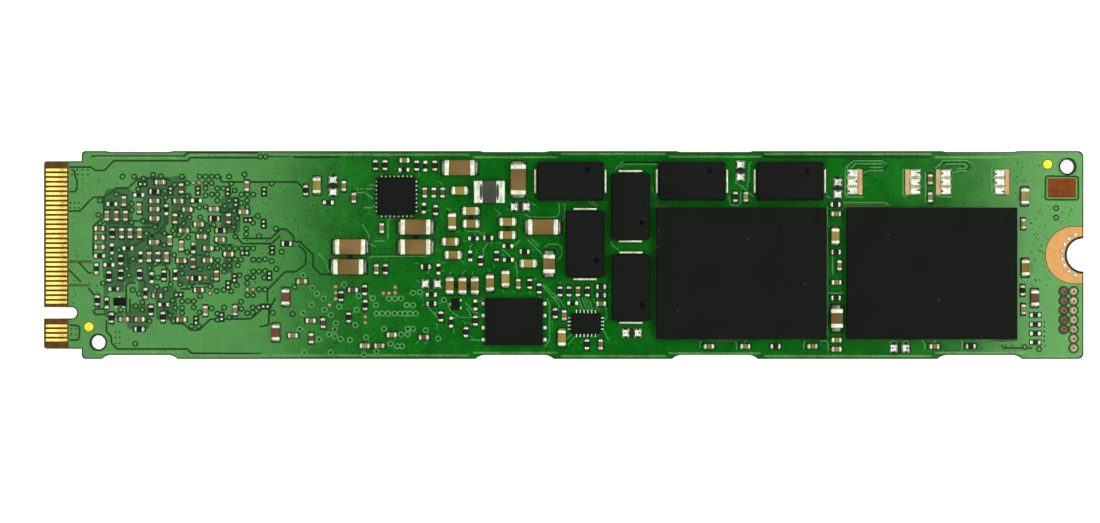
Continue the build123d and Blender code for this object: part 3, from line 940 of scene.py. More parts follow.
class PathDrawer:
    """Draws flat tracks of one width along paths, with rounded corners."""

    def __init__(self) -> None:
        """Build the tree."""
        group = NodeGroup("draw_tracks")
        group.add_input("Width", "Float")
        group.add_input("Corner", "Float")
        group.add_input("Finish", "Material")
        start = group.start.outputs
        curve = group.node("MeshToCurve", None, {"Mesh": start["Geometry"]})
        soft = group.node("FilletCurve", {"mode": "POLY"}, {
            "Curve": curve.outputs[0], "Radius": start["Corner"], "Count": 3, "Limit Radius": True})
        upright = group.node("SetCurveNormal", {"mode": "Z_UP"}, {"Curve": soft.outputs[0]})
        line = group.node("CurvePrimitiveLine", None, {"Start": (-0.5, 0, 0), "End": (0.5, 0, 0)})
        scale = group.node("ShaderNodeCombineXYZ", None, {"X": start["Width"], "Y": 1.0, "Z": 1.0})
        sides = group.node("Transform", None, {"Geometry": line.outputs[0],
                                               "Scale": scale.outputs[0]})
        strip = group.node("CurveToMesh", None, {"Curve": upright.outputs[0],
                                                 "Profile Curve": sides.outputs[0]})
        group.close(strip.outputs[0])
        self.group = group

    def draw(self, paths: Sequence[Sequence[Point]], level: float, width: float, finish: Finish,
             corner: float) -> bpy.types.Mesh:
        """Draw tracks.

        Args:
            paths: the corner points of each track, in millimetres.
            level: the height of the tracks in millimetres.
            width: their width in millimetres.
            finish: their surface.
            corner: the radius of their corners.

        Returns:
            One plain mesh, its faces turned up.
        """
        points = []
        edges = []
        for path in paths:
            first = len(points)
            points += [Vector((x, y, level)) * MM for x, y in path]
            edges += [(first + k, first + k + 1) for k in range(len(path) - 1)]
        mesh = bpy.data.meshes.new("paths")
        mesh.from_pydata(points, edges, [])
        made = self.group.run(mesh, {"Width": width * MM, "Corner": corner * MM,
                                     "Finish": finish.material()})
        shape = bmesh.new()
        shape.from_mesh(made)
        shape.normal_update()
        turned = [face for face in shape.faces if face.normal.z < 0]
        bmesh.ops.reverse_faces(shape, faces=turned)
        shape.to_mesh(made)
        shape.free()
        return made

    def place(self, name: str, paths: Sequence[Sequence[Point]], level: float, width: float,
              finish: Finish, corner: float = 0.25) -> bpy.types.Object:
        """Draw tracks and keep them as one piece."""
        return keep(name, self.draw(paths, level, width, finish, corner), finish)


# ---- the card's sub-assemblies

@dataclass
class BarePieces:
    """CAD nodes whose shape is right and that only need their surface."""

    finishes: dict[str, Finish] = field(default_factory=lambda: {
        "circuit_board": BOARD,
        "solder_mask_upper": MASK,
        "solder_mask_lower": MASK,
        "screw_ground_pad_upper": COPPER,
        "screw_ground_pad_lower": COPPER,
        "package_substrates_upper": SUBSTRATE,
        "package_substrates_lower": SUBSTRATE,
        "package_solder_balls_upper": SOLDER,
        "package_solder_balls_lower": SOLDER,
        "spare_capacitor_lands": LAND_COPPER,
        # The lands are dressed in the darkened solder, which is painted shade.
        "component_lands_upper": FILLET,
        "component_lands_lower": FILLET,
        "spare_lands": FILLET,
        "blank_label": LABEL,
    })

    def build(self) -> None:
        """Dress the nodes."""
        for node, finish in self.finishes.items():
            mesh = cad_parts[node].data
            mesh.materials.clear()
            mesh.materials.append(finish.material())
            log.info("%s: dressed", node)


@dataclass
class SmallParts:
    """Every chip part that repeats: blocks, end caps, leads and fingers at the CAD's places."""

    repeater: Repeater
    edge: float = 0.05
    cap_edge: float = 0.09
    core_edge: float = 0.15
    can_edge: float = 0.2
    cap_swell: float = 0.035
    finger_trim: float = 0.06
    oval_radius: float = 0.26
    oval_rise: float = 0.03
    oval_lift: float = 0.01
    oval_shift: float = 0.25
    oval_stretch: tuple[float, float, float] = (0.55, 3.4, 1.0)
    pin_edge: float = 0.04
    pin_trim: float = 0.04
    pin_reach: float = 0.4
    hump_radius: float = 0.32
    hump_rise: float = 0.05
    hump_steps: int = 14
    wobble: float = 0.025
    ceramics: dict[str, Finish] = field(default_factory=lambda: {
        "small_capacitors_tan": TAN, "small_capacitors_brown": UMBER,
        "small_capacitors_dark": DARK, "medium_capacitors_tan": GOLDEN,
        "medium_capacitors_brown": AMBER, "large_capacitors": BROWN, "resistors": GLAZE_AND_GAP_SHADOW,
        "reverse_capacitors": TAN, "reverse_resistors": GLAZE_AND_GAP_SHADOW})
    end_caps: tuple[str, ...] = (
        "small_capacitors_ends", "medium_capacitors_ends", "large_capacitors_ends",
        "resistors_ends", "reverse_capacitors_ends", "reverse_resistors_ends")
    leads: tuple[str, ...] = (
        "power_chip_leads", "boot_memory_leads", "transistor_leads",
        "filter_inductor_terminals", "power_inductor_terminals")

    def lay_node(self, node: str, finish: Finish, edge: float, swell: float = 0.0,
                 seed: int = 7, widen: float = 0.0, lengthen: float = 0.0) -> bpy.types.Object:
        """Replace a CAD node by rounded blocks at the same places.

        Args:
            node: the CAD node's name, and the new piece's name with _detailed after it.
            finish: the surface.
            edge: the radius of the edges.
            swell: how much each side grows.
            seed: the random seed of the yaw.
            widen: how much more the shorter flat side grows.
            lengthen: how much more the longer flat side grows.

        Returns:
            The piece.
        """
        kinds: dict[tuple[float, ...], list[Block]] = {}
        for block in blocks(node):
            kinds.setdefault(tuple(round(side, 2) for side in block.laid), []).append(block)
        meshes = []
        for size, members in sorted(kinds.items()):
            grown = (size[0] + swell + lengthen, size[1] + swell + widen, size[2] + swell)
            part = rounded_block(grown, edge)
            spots = [Spot(block.centre, block.turn) for block in members]
            wobble = self.wobble if swell else 0.0
            meshes.append(self.repeater.lay(part, spots, finish, wobble, seed))
        piece = keep(f"{node}_detailed", joined(node, meshes), finish)
        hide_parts(node)
        return piece

    def inductor_ovals(self) -> None:
        """Put a dark oval on each terminal of the filter inductor."""
        middle = blocks("filter_inductor_core")[0].centre
        spots = []
        for end in blocks("filter_inductor_terminals"):
            inward = (middle.x - end.centre.x) * self.oval_shift
            place = Vector((end.centre.x + inward, end.centre.y, end.high.z + self.oval_lift))
            spots.append(Spot(place, 0.0, Vector(self.oval_stretch)))
        self.repeater.place("filter_inductor_ovals", disc(self.oval_radius, self.oval_rise), spots,
                            FERRITE)

    def resistor_humps(self) -> None:
        """Put a round hump of glaze on each resistor."""
        spots = [Spot(Vector((chip.centre.x, chip.centre.y, chip.high.z)))
                 for chip in blocks("resistors")]
        hump = disc(self.hump_radius, self.hump_rise, self.hump_steps)
        self.repeater.place("resistor_humps", hump, spots, GLAZE_AND_GAP_SHADOW)

    def build(self) -> None:
        """Make all the small parts."""
        for node, finish in self.ceramics.items():
            self.lay_node(node, finish, self.edge)
        for node in self.end_caps:
            self.lay_node(node, TIN, self.cap_edge, self.cap_swell)
        self.lay_node("load_switch_leads", SOLDER, self.pin_edge, widen=-self.pin_trim,
                      lengthen=self.pin_reach)
        for node in self.leads:
            self.lay_node(node, SOLDER, self.cap_edge, self.cap_swell / 2)
        for node in ("edge_contacts_upper", "edge_contacts_lower"):
            self.lay_node(node, GOLD, self.edge, widen=-self.finger_trim)
        self.lay_node("power_inductor_cores", FERRITE, self.core_edge)
        self.lay_node("filter_inductor_core", FERRITE, self.edge)
        self.inductor_ovals()
        self.resistor_humps()
        self.lay_node("crystal_can", CAN, self.can_edge)
        self.lay_node("transistor_bodies", CHIP_BLACK, self.edge)


@dataclass
class Packages:
    """Moulded chips: rounded black blocks with a dimple at one corner."""

    edge: float = 0.12
    edge_steps: int = 3
    dimple_radius: float = 0.32
    dimple_inset: float = 1.0
    dimple_depth: float = 0.45
    small_side: float = 5.0
    small_edge: float = 0.5
    small_dimple: float = 0.6
    sharp_angle: float = 30.0
    growth: dict[str, float] = field(default_factory=lambda: {
        "load_switch": 0.3, "power_chip": 0.12, "boot_memory": 0.1})
    nodes: tuple[str, ...] = ("flash_package_upper_1", "flash_package_upper_2",
                              "flash_package_lower_1", "flash_package_lower_2",
                              "controller_package", "dram_package", "power_chip", "boot_memory",
                              "load_switch")

    def dimple_cutter(self, block: Block, radius: float, inset: Point,
                      upper: bool) -> bpy.types.Object:
        """Make the ball that cuts a dimple into a block's outer face.

        Args:
            block: the moulded block.
            radius: the radius of the dimple's mouth.
            inset: the dimple's distance from the block's high X and high Y sides.
            upper: whether the block is on the upper side.

        Returns:
            The ball's object.
        """
        depth = radius * self.dimple_depth
        ball_radius = (radius ** 2 + depth ** 2) / (2 * depth)
        face = block.high.z if upper else block.low.z
        rise = (ball_radius - depth) * (1 if upper else -1)
        centre = Vector((block.high.x - inset[0], block.high.y - inset[1], face + rise))
        ball = bmesh.new()
        bmesh.ops.create_icosphere(ball, subdivisions=4, radius=ball_radius * MM)
        bmesh.ops.translate(ball, verts=ball.verts, vec=centre * MM)
        cutter = bpy.data.objects.new("cutter", finished(ball, "ball"))
        bpy.context.scene.collection.objects.link(cutter)
        return cutter

    def mould(self, node: str, edge: float, radius: float, inset: Point,
              finish: Finish, grow: float = 0.0) -> bpy.types.Object:
        """Make one moulded block with its dimple.

        Args:
            node: the CAD node that it replaces.
            edge: the radius of its edges.
            radius: the radius of the dimple's mouth.
            inset: the dimple's distance from the block's high X and high Y sides.
            finish: the surface.
            grow: how much its two flat sides grow.

        Returns:
            The piece.
        """
        block = blocks(node)[0]
        upper = block.centre.z > blocks("circuit_board")[0].centre.z
        mesh = rounded_block(block.size + Vector((grow, grow, 0.0)), edge, self.edge_steps)
        mesh.transform(Matrix.Translation(block.centre * MM))
        holder = bpy.data.objects.new("block", mesh)
        bpy.context.scene.collection.objects.link(holder)
        cutter = self.dimple_cutter(block, radius, inset, upper)
        cut = holder.modifiers.new("dimple", "BOOLEAN")
        cut.operation = "DIFFERENCE"
        cut.solver = "EXACT"
        cut.object = cutter
        depsgraph = bpy.context.evaluated_depsgraph_get()
        made = bpy.data.meshes.new_from_object(holder.evaluated_get(depsgraph), depsgraph=depsgraph)
        for spare in (holder, cutter):
            bpy.data.objects.remove(spare)
        piece = keep(f"{node}_detailed", smooth(made, self.sharp_angle), finish)
        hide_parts(node)
        return piece

    def build(self) -> None:
        """Make every moulded chip."""
        for node in self.nodes:
            size = blocks(node)[0].size
            small = min(size.x, size.y) < self.small_side
            edge = self.edge * (self.small_edge if small else 1.0)
            radius = self.dimple_radius * (self.small_dimple if small else 1.0)
            inset = self.dimple_inset * (self.small_edge if small else 1.0)
            self.mould(node, edge, radius, (inset, inset), CHIP_BLACK, self.growth.get(node, 0.0))


@dataclass
class HoldUpCapacitors:
    """The six moulded cases, their dimples and their upright terminal strips."""

    packages: Packages
    count: int = 6
    edge: float = 0.2
    dimple_radius: float = 0.3
    end_inset: float = 1.75
    side_inset: float = 0.85
    terminal_edge: float = 0.06
    strip_size: tuple[float, float, float] = (2.5, 0.24, 0.6)
    strip_gap: float = 0.08
    strip_foot: float = 2.36
    pit_radius: float = 0.2
    pit_rise: float = 0.004
    pit_sink: float = 0.001
    pit_steps: int = 14
    pits: tuple[Point, ...] = ((2.6, 9.0), (3.5, -0.6), (8.15, 3.35), (8.2, -5.3), (15.4, 8.8),
                               (25.7, 8.8))

    def terminals(self) -> list[Spot]:
        """Return the places of the upright strips at both ends of every case."""
        spots = []
        for number in range(1, self.count + 1):
            case = blocks(f"hold_up_capacitor_{number}")[0]
            along = Vector((1, 0, 0)) if case.size.x > case.size.y else Vector((0, 1, 0))
            reach = case.laid.x / 2 + self.strip_gap + self.strip_size[1] / 2
            for end in (-1, 1):
                place = case.centre + along * reach * end
                place.z = self.strip_foot + self.strip_size[2] / 2
                spots.append(Spot(place, case.turn + math.pi / 2))
        return spots

    def build(self, repeater: Repeater) -> None:
        """Make the painted shade in the small dimples, the cases and the terminals.

        Args:
            repeater: sets the marks and the terminals down.
        """
        # Darker discs in the mouths of the dimples are painted shade.
        top = blocks("hold_up_capacitor_1")[0].high.z - self.pit_sink
        mark = disc(self.pit_radius, self.pit_rise, self.pit_steps)
        spots = [Spot(Vector((x, y, top))) for x, y in self.pits]
        repeater.place("case_ejector_marks", mark, spots, DIMPLE_SHADE)
        for number in range(1, self.count + 1):
            node = f"hold_up_capacitor_{number}"
            size = blocks(node)[0].size
            inset = (self.side_inset, size.y - self.end_inset)
            if size.x > size.y:
                inset = (self.end_inset, self.side_inset)
            self.packages.mould(node, self.edge, self.dimple_radius, inset, CASE_BLACK)
        strip = rounded_block(self.strip_size, self.terminal_edge)
        piece = repeater.place("hold_up_capacitor_terminals_detailed", strip, self.terminals(), TIN)
        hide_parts("hold_up_capacitor_terminals")


@dataclass
class SolderWork:
    """Solder on the lands: fillets at the parts' ends, and pools where no part is fitted."""

    repeater: Repeater
    fillet_height: float = 0.17
    pool_height: float = 0.16
    stripe_height: float = 0.2
    large_land: float = 0.75
    longest_fillet: float = 2.2
    large_rise: float = 1.6
    rim: float = 0.03
    waist: float = 0.32
    large_cells: int = 12
    dent_radius: float = 0.16
    dent_rise: float = 0.06
    dent_steps: int = 10
    dent_lift: float = 0.13
    dent_seed: int = 3
    dent_length: float = 1.7
    dent_sizes: Point = (0.5, 1.0)
    dent_turn: float = 3.0
    dents: tuple[Point, ...] = ((-0.3, 0.0), (0.3, 0.0), (0.0, -0.38), (0.0, 0.38))
    dent_jitter: float = 0.05
    stripe_dent_lift: float = 0.16
    stripe_dent_reach: float = 0.32
    stripe_dent_jitter: float = 0.1
    stripe_dent_size: float = 0.7
    stripe_length: float = 1.2
    stripe_breadth: float = 1.75
    stripe_waist: float = 0.18
    stripe_cells: int = 10
    stripe_yaw: float = 0.03
    stripe_seed: int = 11

    def pools(self, node: str, name: str, small: bpy.types.Mesh, large: bpy.types.Mesh,
              height: float, side: Side, finish: Finish = SOLDER) -> bpy.types.Object:
        """Put a pool on every land of a CAD node that is no longer than the longest fillet.

        Args:
            node: the node of lands.
            name: the piece's name.
            small: the pool's mesh for small lands.
            large: the pool's mesh for large lands.
            height: how high a pool stands on a small land.
            side: which face of the card the lands are on.
            finish: the solder's surface.

        Returns:
            The piece.
        """
        sorted_lands: dict[bool, list[Spot]] = {False: [], True: []}
        for block in blocks(node):
            size = block.size
            if max(size.x, size.y) > self.longest_fillet:
                continue
            big = min(size.x, size.y) > self.large_land
            tall = height * (self.large_rise if big else 1.0)
            outer = block.high.z if side is Side.UPPER else block.low.z
            stretch = Vector((size.x + self.rim, size.y + self.rim, tall * side.value))
            place = Vector((block.centre.x, block.centre.y, outer))
            sorted_lands[big].append(Spot(place, 0.0, stretch))
        meshes = []
        for mesh, big in ((small, False), (large, True)):
            if sorted_lands[big]:
                meshes.append(self.repeater.lay(mesh, sorted_lands[big], finish))
        made = joined(name, meshes)
        shape = bmesh.new()
        shape.from_mesh(made)
        if side is Side.LOWER:
            bmesh.ops.reverse_faces(shape, faces=shape.faces)
        shape.to_mesh(made)
        shape.free()
        return keep(name, made, finish)

    def flux_dents(self) -> list[Spot]:
        """Place the dark dents in the pools of empty lands, the same at each run.

        Returns:
            The dents' spots.
        """
        dice = random.Random(self.dent_seed)
        spots = []
        for block in blocks("spare_lands"):
            if min(block.size.x, block.size.y) <= self.large_land:
                continue
            jitter = self.dent_jitter
            for away in self.dents:
                shift = Vector((away[0] * block.size.x + dice.uniform(-jitter, jitter),
                                away[1] * block.size.y + dice.uniform(-jitter, jitter), 0))
                middle = Vector((block.centre.x, block.centre.y, block.high.z + self.dent_lift))
                size = dice.uniform(*self.dent_sizes)
                stretch = Vector((size, size * self.dent_length, 1.0))
                spots.append(Spot(middle + shift, dice.uniform(0, self.dent_turn), stretch))
        for block in blocks("spare_land_solder"):
            side = 1 if dice.random() > 0.5 else -1
            jitter = self.stripe_dent_jitter
            place = Vector((block.centre.x + side * block.size.x * self.stripe_dent_reach,
                            block.centre.y + dice.uniform(-jitter, jitter),
                            block.low.z + self.stripe_dent_lift))
            size = self.stripe_dent_size
            spots.append(Spot(place, 0.0, Vector((size, size, 1.0))))
        return spots

    def stripes(self) -> None:
        """Lay the stripes of solder on the lands of the two missing capacitors."""
        spots = []
        for block in blocks("spare_land_solder"):
            stretch = Vector((block.size.x * self.stripe_length, block.size.y * self.stripe_breadth,
                              self.stripe_height))
            place = Vector((block.centre.x, block.centre.y, block.low.z))
            spots.append(Spot(place, 0.0, stretch))
        pool = solder_pool(1.0, self.stripe_waist, self.stripe_cells)
        mesh = self.repeater.lay(pool, spots, SOLDER, self.stripe_yaw, self.stripe_seed)
        piece = keep("spare_land_solder_detailed", mesh, SOLDER)
        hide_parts("spare_land_solder")

    def build(self) -> None:
        """Make all the solder."""
        # The fillets use the darkened solder: painted shade.
        for face, side in (("upper", Side.UPPER), ("lower", Side.LOWER)):
            self.pools(f"component_lands_{face}", f"solder_fillets_{face}", solder_pool(),
                       solder_pool(), self.fillet_height, side, FILLET)
        self.pools("spare_lands", "spare_land_pools", solder_pool(1.0, self.waist),
                   solder_pool(1.0, self.waist, self.large_cells), self.pool_height, Side.UPPER)
        dent = disc(self.dent_radius, self.dent_rise, self.dent_steps)
        self.repeater.place("solder_dents", dent, self.flux_dents(), GLAZE_AND_GAP_SHADOW)
        self.stripes()


@dataclass
class Marks:
    """Test pads, fiducials and the solder dots round the screw notch."""

    repeater: Repeater
    pad_rise: float = 0.08
    pad_split: float = 53.4
    ring_gap: float = 0.16
    ring_overlap: float = 0.02
    ring_rise: float = 0.003
    hole_share: float = 0.28
    hole_rise: float = 0.5
    hole_lift: float = 0.9
    hole_shift: Point = (0.05, -0.02)
    hole_steps: int = 10
    fiducial_rise: float = 0.02
    fiducial_steps: int = 24
    notch_centre: Point = (55.0, 0.0)
    tooling_holes: tuple[Point, ...] = ((-49.25, -9.25), (53.3, 9.35))
    rim_inner: float = 0.94
    rim_outer: float = 1.12
    rim_rise: float = 0.005
    rim_sink: float = 0.004
    rim_steps: int = 40
    dot_orbit: float = 2.32
    dot_radius: float = 0.2
    dot_count: int = 8
    dot_spread: float = 68.0
    dot_length: float = 1.4
    dot_lift: float = 0.008
    dot_rise: float = 0.1
    dot_steps: int = 12

    def test_pads(self, level: float) -> None:
        """Make the test pads, the dark rings round them and their small holes.

        Args:
            level: the height of the mask's face in millimetres.
        """
        pads = blocks("test_pads")
        radius = pads[0].size.x / 2
        spots = [Spot(Vector((pad.centre.x, pad.centre.y, pad.high.z))) for pad in pads]
        for name, finish, inside in (("test_pads_inner", TEST_BROWN, True),
                                     ("test_pads_outer", TEST_COPPER, False)):
            column = [spot for spot in spots if (spot.place.x < self.pad_split) is inside]
            piece = self.repeater.place(name, disc(radius, self.pad_rise), column, finish)
            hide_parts("test_pads")
        around = ring(radius - self.ring_overlap, radius + self.ring_gap, self.ring_rise)
        halo = [Spot(Vector((pad.centre.x, pad.centre.y, level + self.ring_rise))) for pad in pads]
        self.repeater.place("test_pad_rings", around, halo, MASK_DARK)
        shift = Vector((*self.hole_shift, self.pad_rise * self.hole_lift))
        hole = disc(radius * self.hole_share, self.pad_rise * self.hole_rise, self.hole_steps)
        holes = [Spot(spot.place + shift) for spot in spots]
        self.repeater.place("test_pad_holes", hole, holes, BOARD)

    def fiducials(self, level: float) -> None:
        """Make the fiducial marks of the upper side, and dress the CAD's marks.

        Args:
            level: the height of the mask's face in millimetres.
        """
        marks = blocks("fiducial_marks")
        faces = [Spot(Vector((mark.centre.x, mark.centre.y, mark.high.z)))
                 for mark in marks if mark.high.z > level]
        face = disc(marks[0].size.x / 2, self.fiducial_rise, self.fiducial_steps)
        self.repeater.place("fiducial_marks_upper", face, faces, FIDUCIAL)
        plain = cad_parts["fiducial_marks"].data
        plain.materials.clear()
        plain.materials.append(FIDUCIAL.material())

    def notch_dots(self, level: float) -> None:
        """Make the solder dots round the screw notch.

        Args:
            level: the height of the mask's face in millimetres.
        """
        spots = []
        for k in range(self.dot_count):
            angle = math.radians(180 + self.dot_spread * (2 * k / (self.dot_count - 1) - 1))
            x = self.notch_centre[0] + self.dot_orbit * math.cos(angle)
            y = self.notch_centre[1] + self.dot_orbit * math.sin(angle)
            place = Vector((x, y, level + self.dot_lift))
            spots.append(Spot(place, angle, Vector((1.0, self.dot_length, 1.0))))
        dot = disc(self.dot_radius, self.dot_rise, self.dot_steps)
        self.repeater.place("screw_pad_dots", dot, spots, SOLDER)

    def build(self, level: float) -> None:
        """Make the marks.

        Args:
            level: the height of the mask's face in millimetres.
        """
        self.test_pads(level)
        self.fiducials(level)
        rims = [Spot(Vector((x, y, level - self.rim_sink))) for x, y in self.tooling_holes]
        rim = ring(self.rim_inner, self.rim_outer, self.rim_rise, self.rim_steps)
        self.repeater.place("tooling_hole_rims", rim, rims, MASK)
        self.notch_dots(level)


@dataclass(frozen=True)
class Lifts:
    """How far each thin layer lies above the mask's face, in millimetres."""

    zone: float = 0.0002
    apron: float = 0.0008
    window: float = 0.001
    pit: float = 0.001
    bridge: float = 0.0015
    land_gap: float = 0.0020
    clearance: float = 0.0030
    fan_out: float = 0.0035
    channel: float = 0.004
    strip: float = 0.005
    trace: float = 0.006
    via: float = 0.007
    open_via: float = 0.009
    stitch: float = 0.010
    flux: float = 0.07
    cover_over_land: float = 0.002
    between_patches: float = 0.00001


@dataclass(frozen=True)
class Corners:
    """The corner radius of each kind of flat patch of side 1 mm, before it is stretched."""

    apron: float = 0.12
    clearance: float = 0.18
    gap: float = 0.05
    cover: float = 0.1
    zone: float = 0.15
    window: float = 0.03


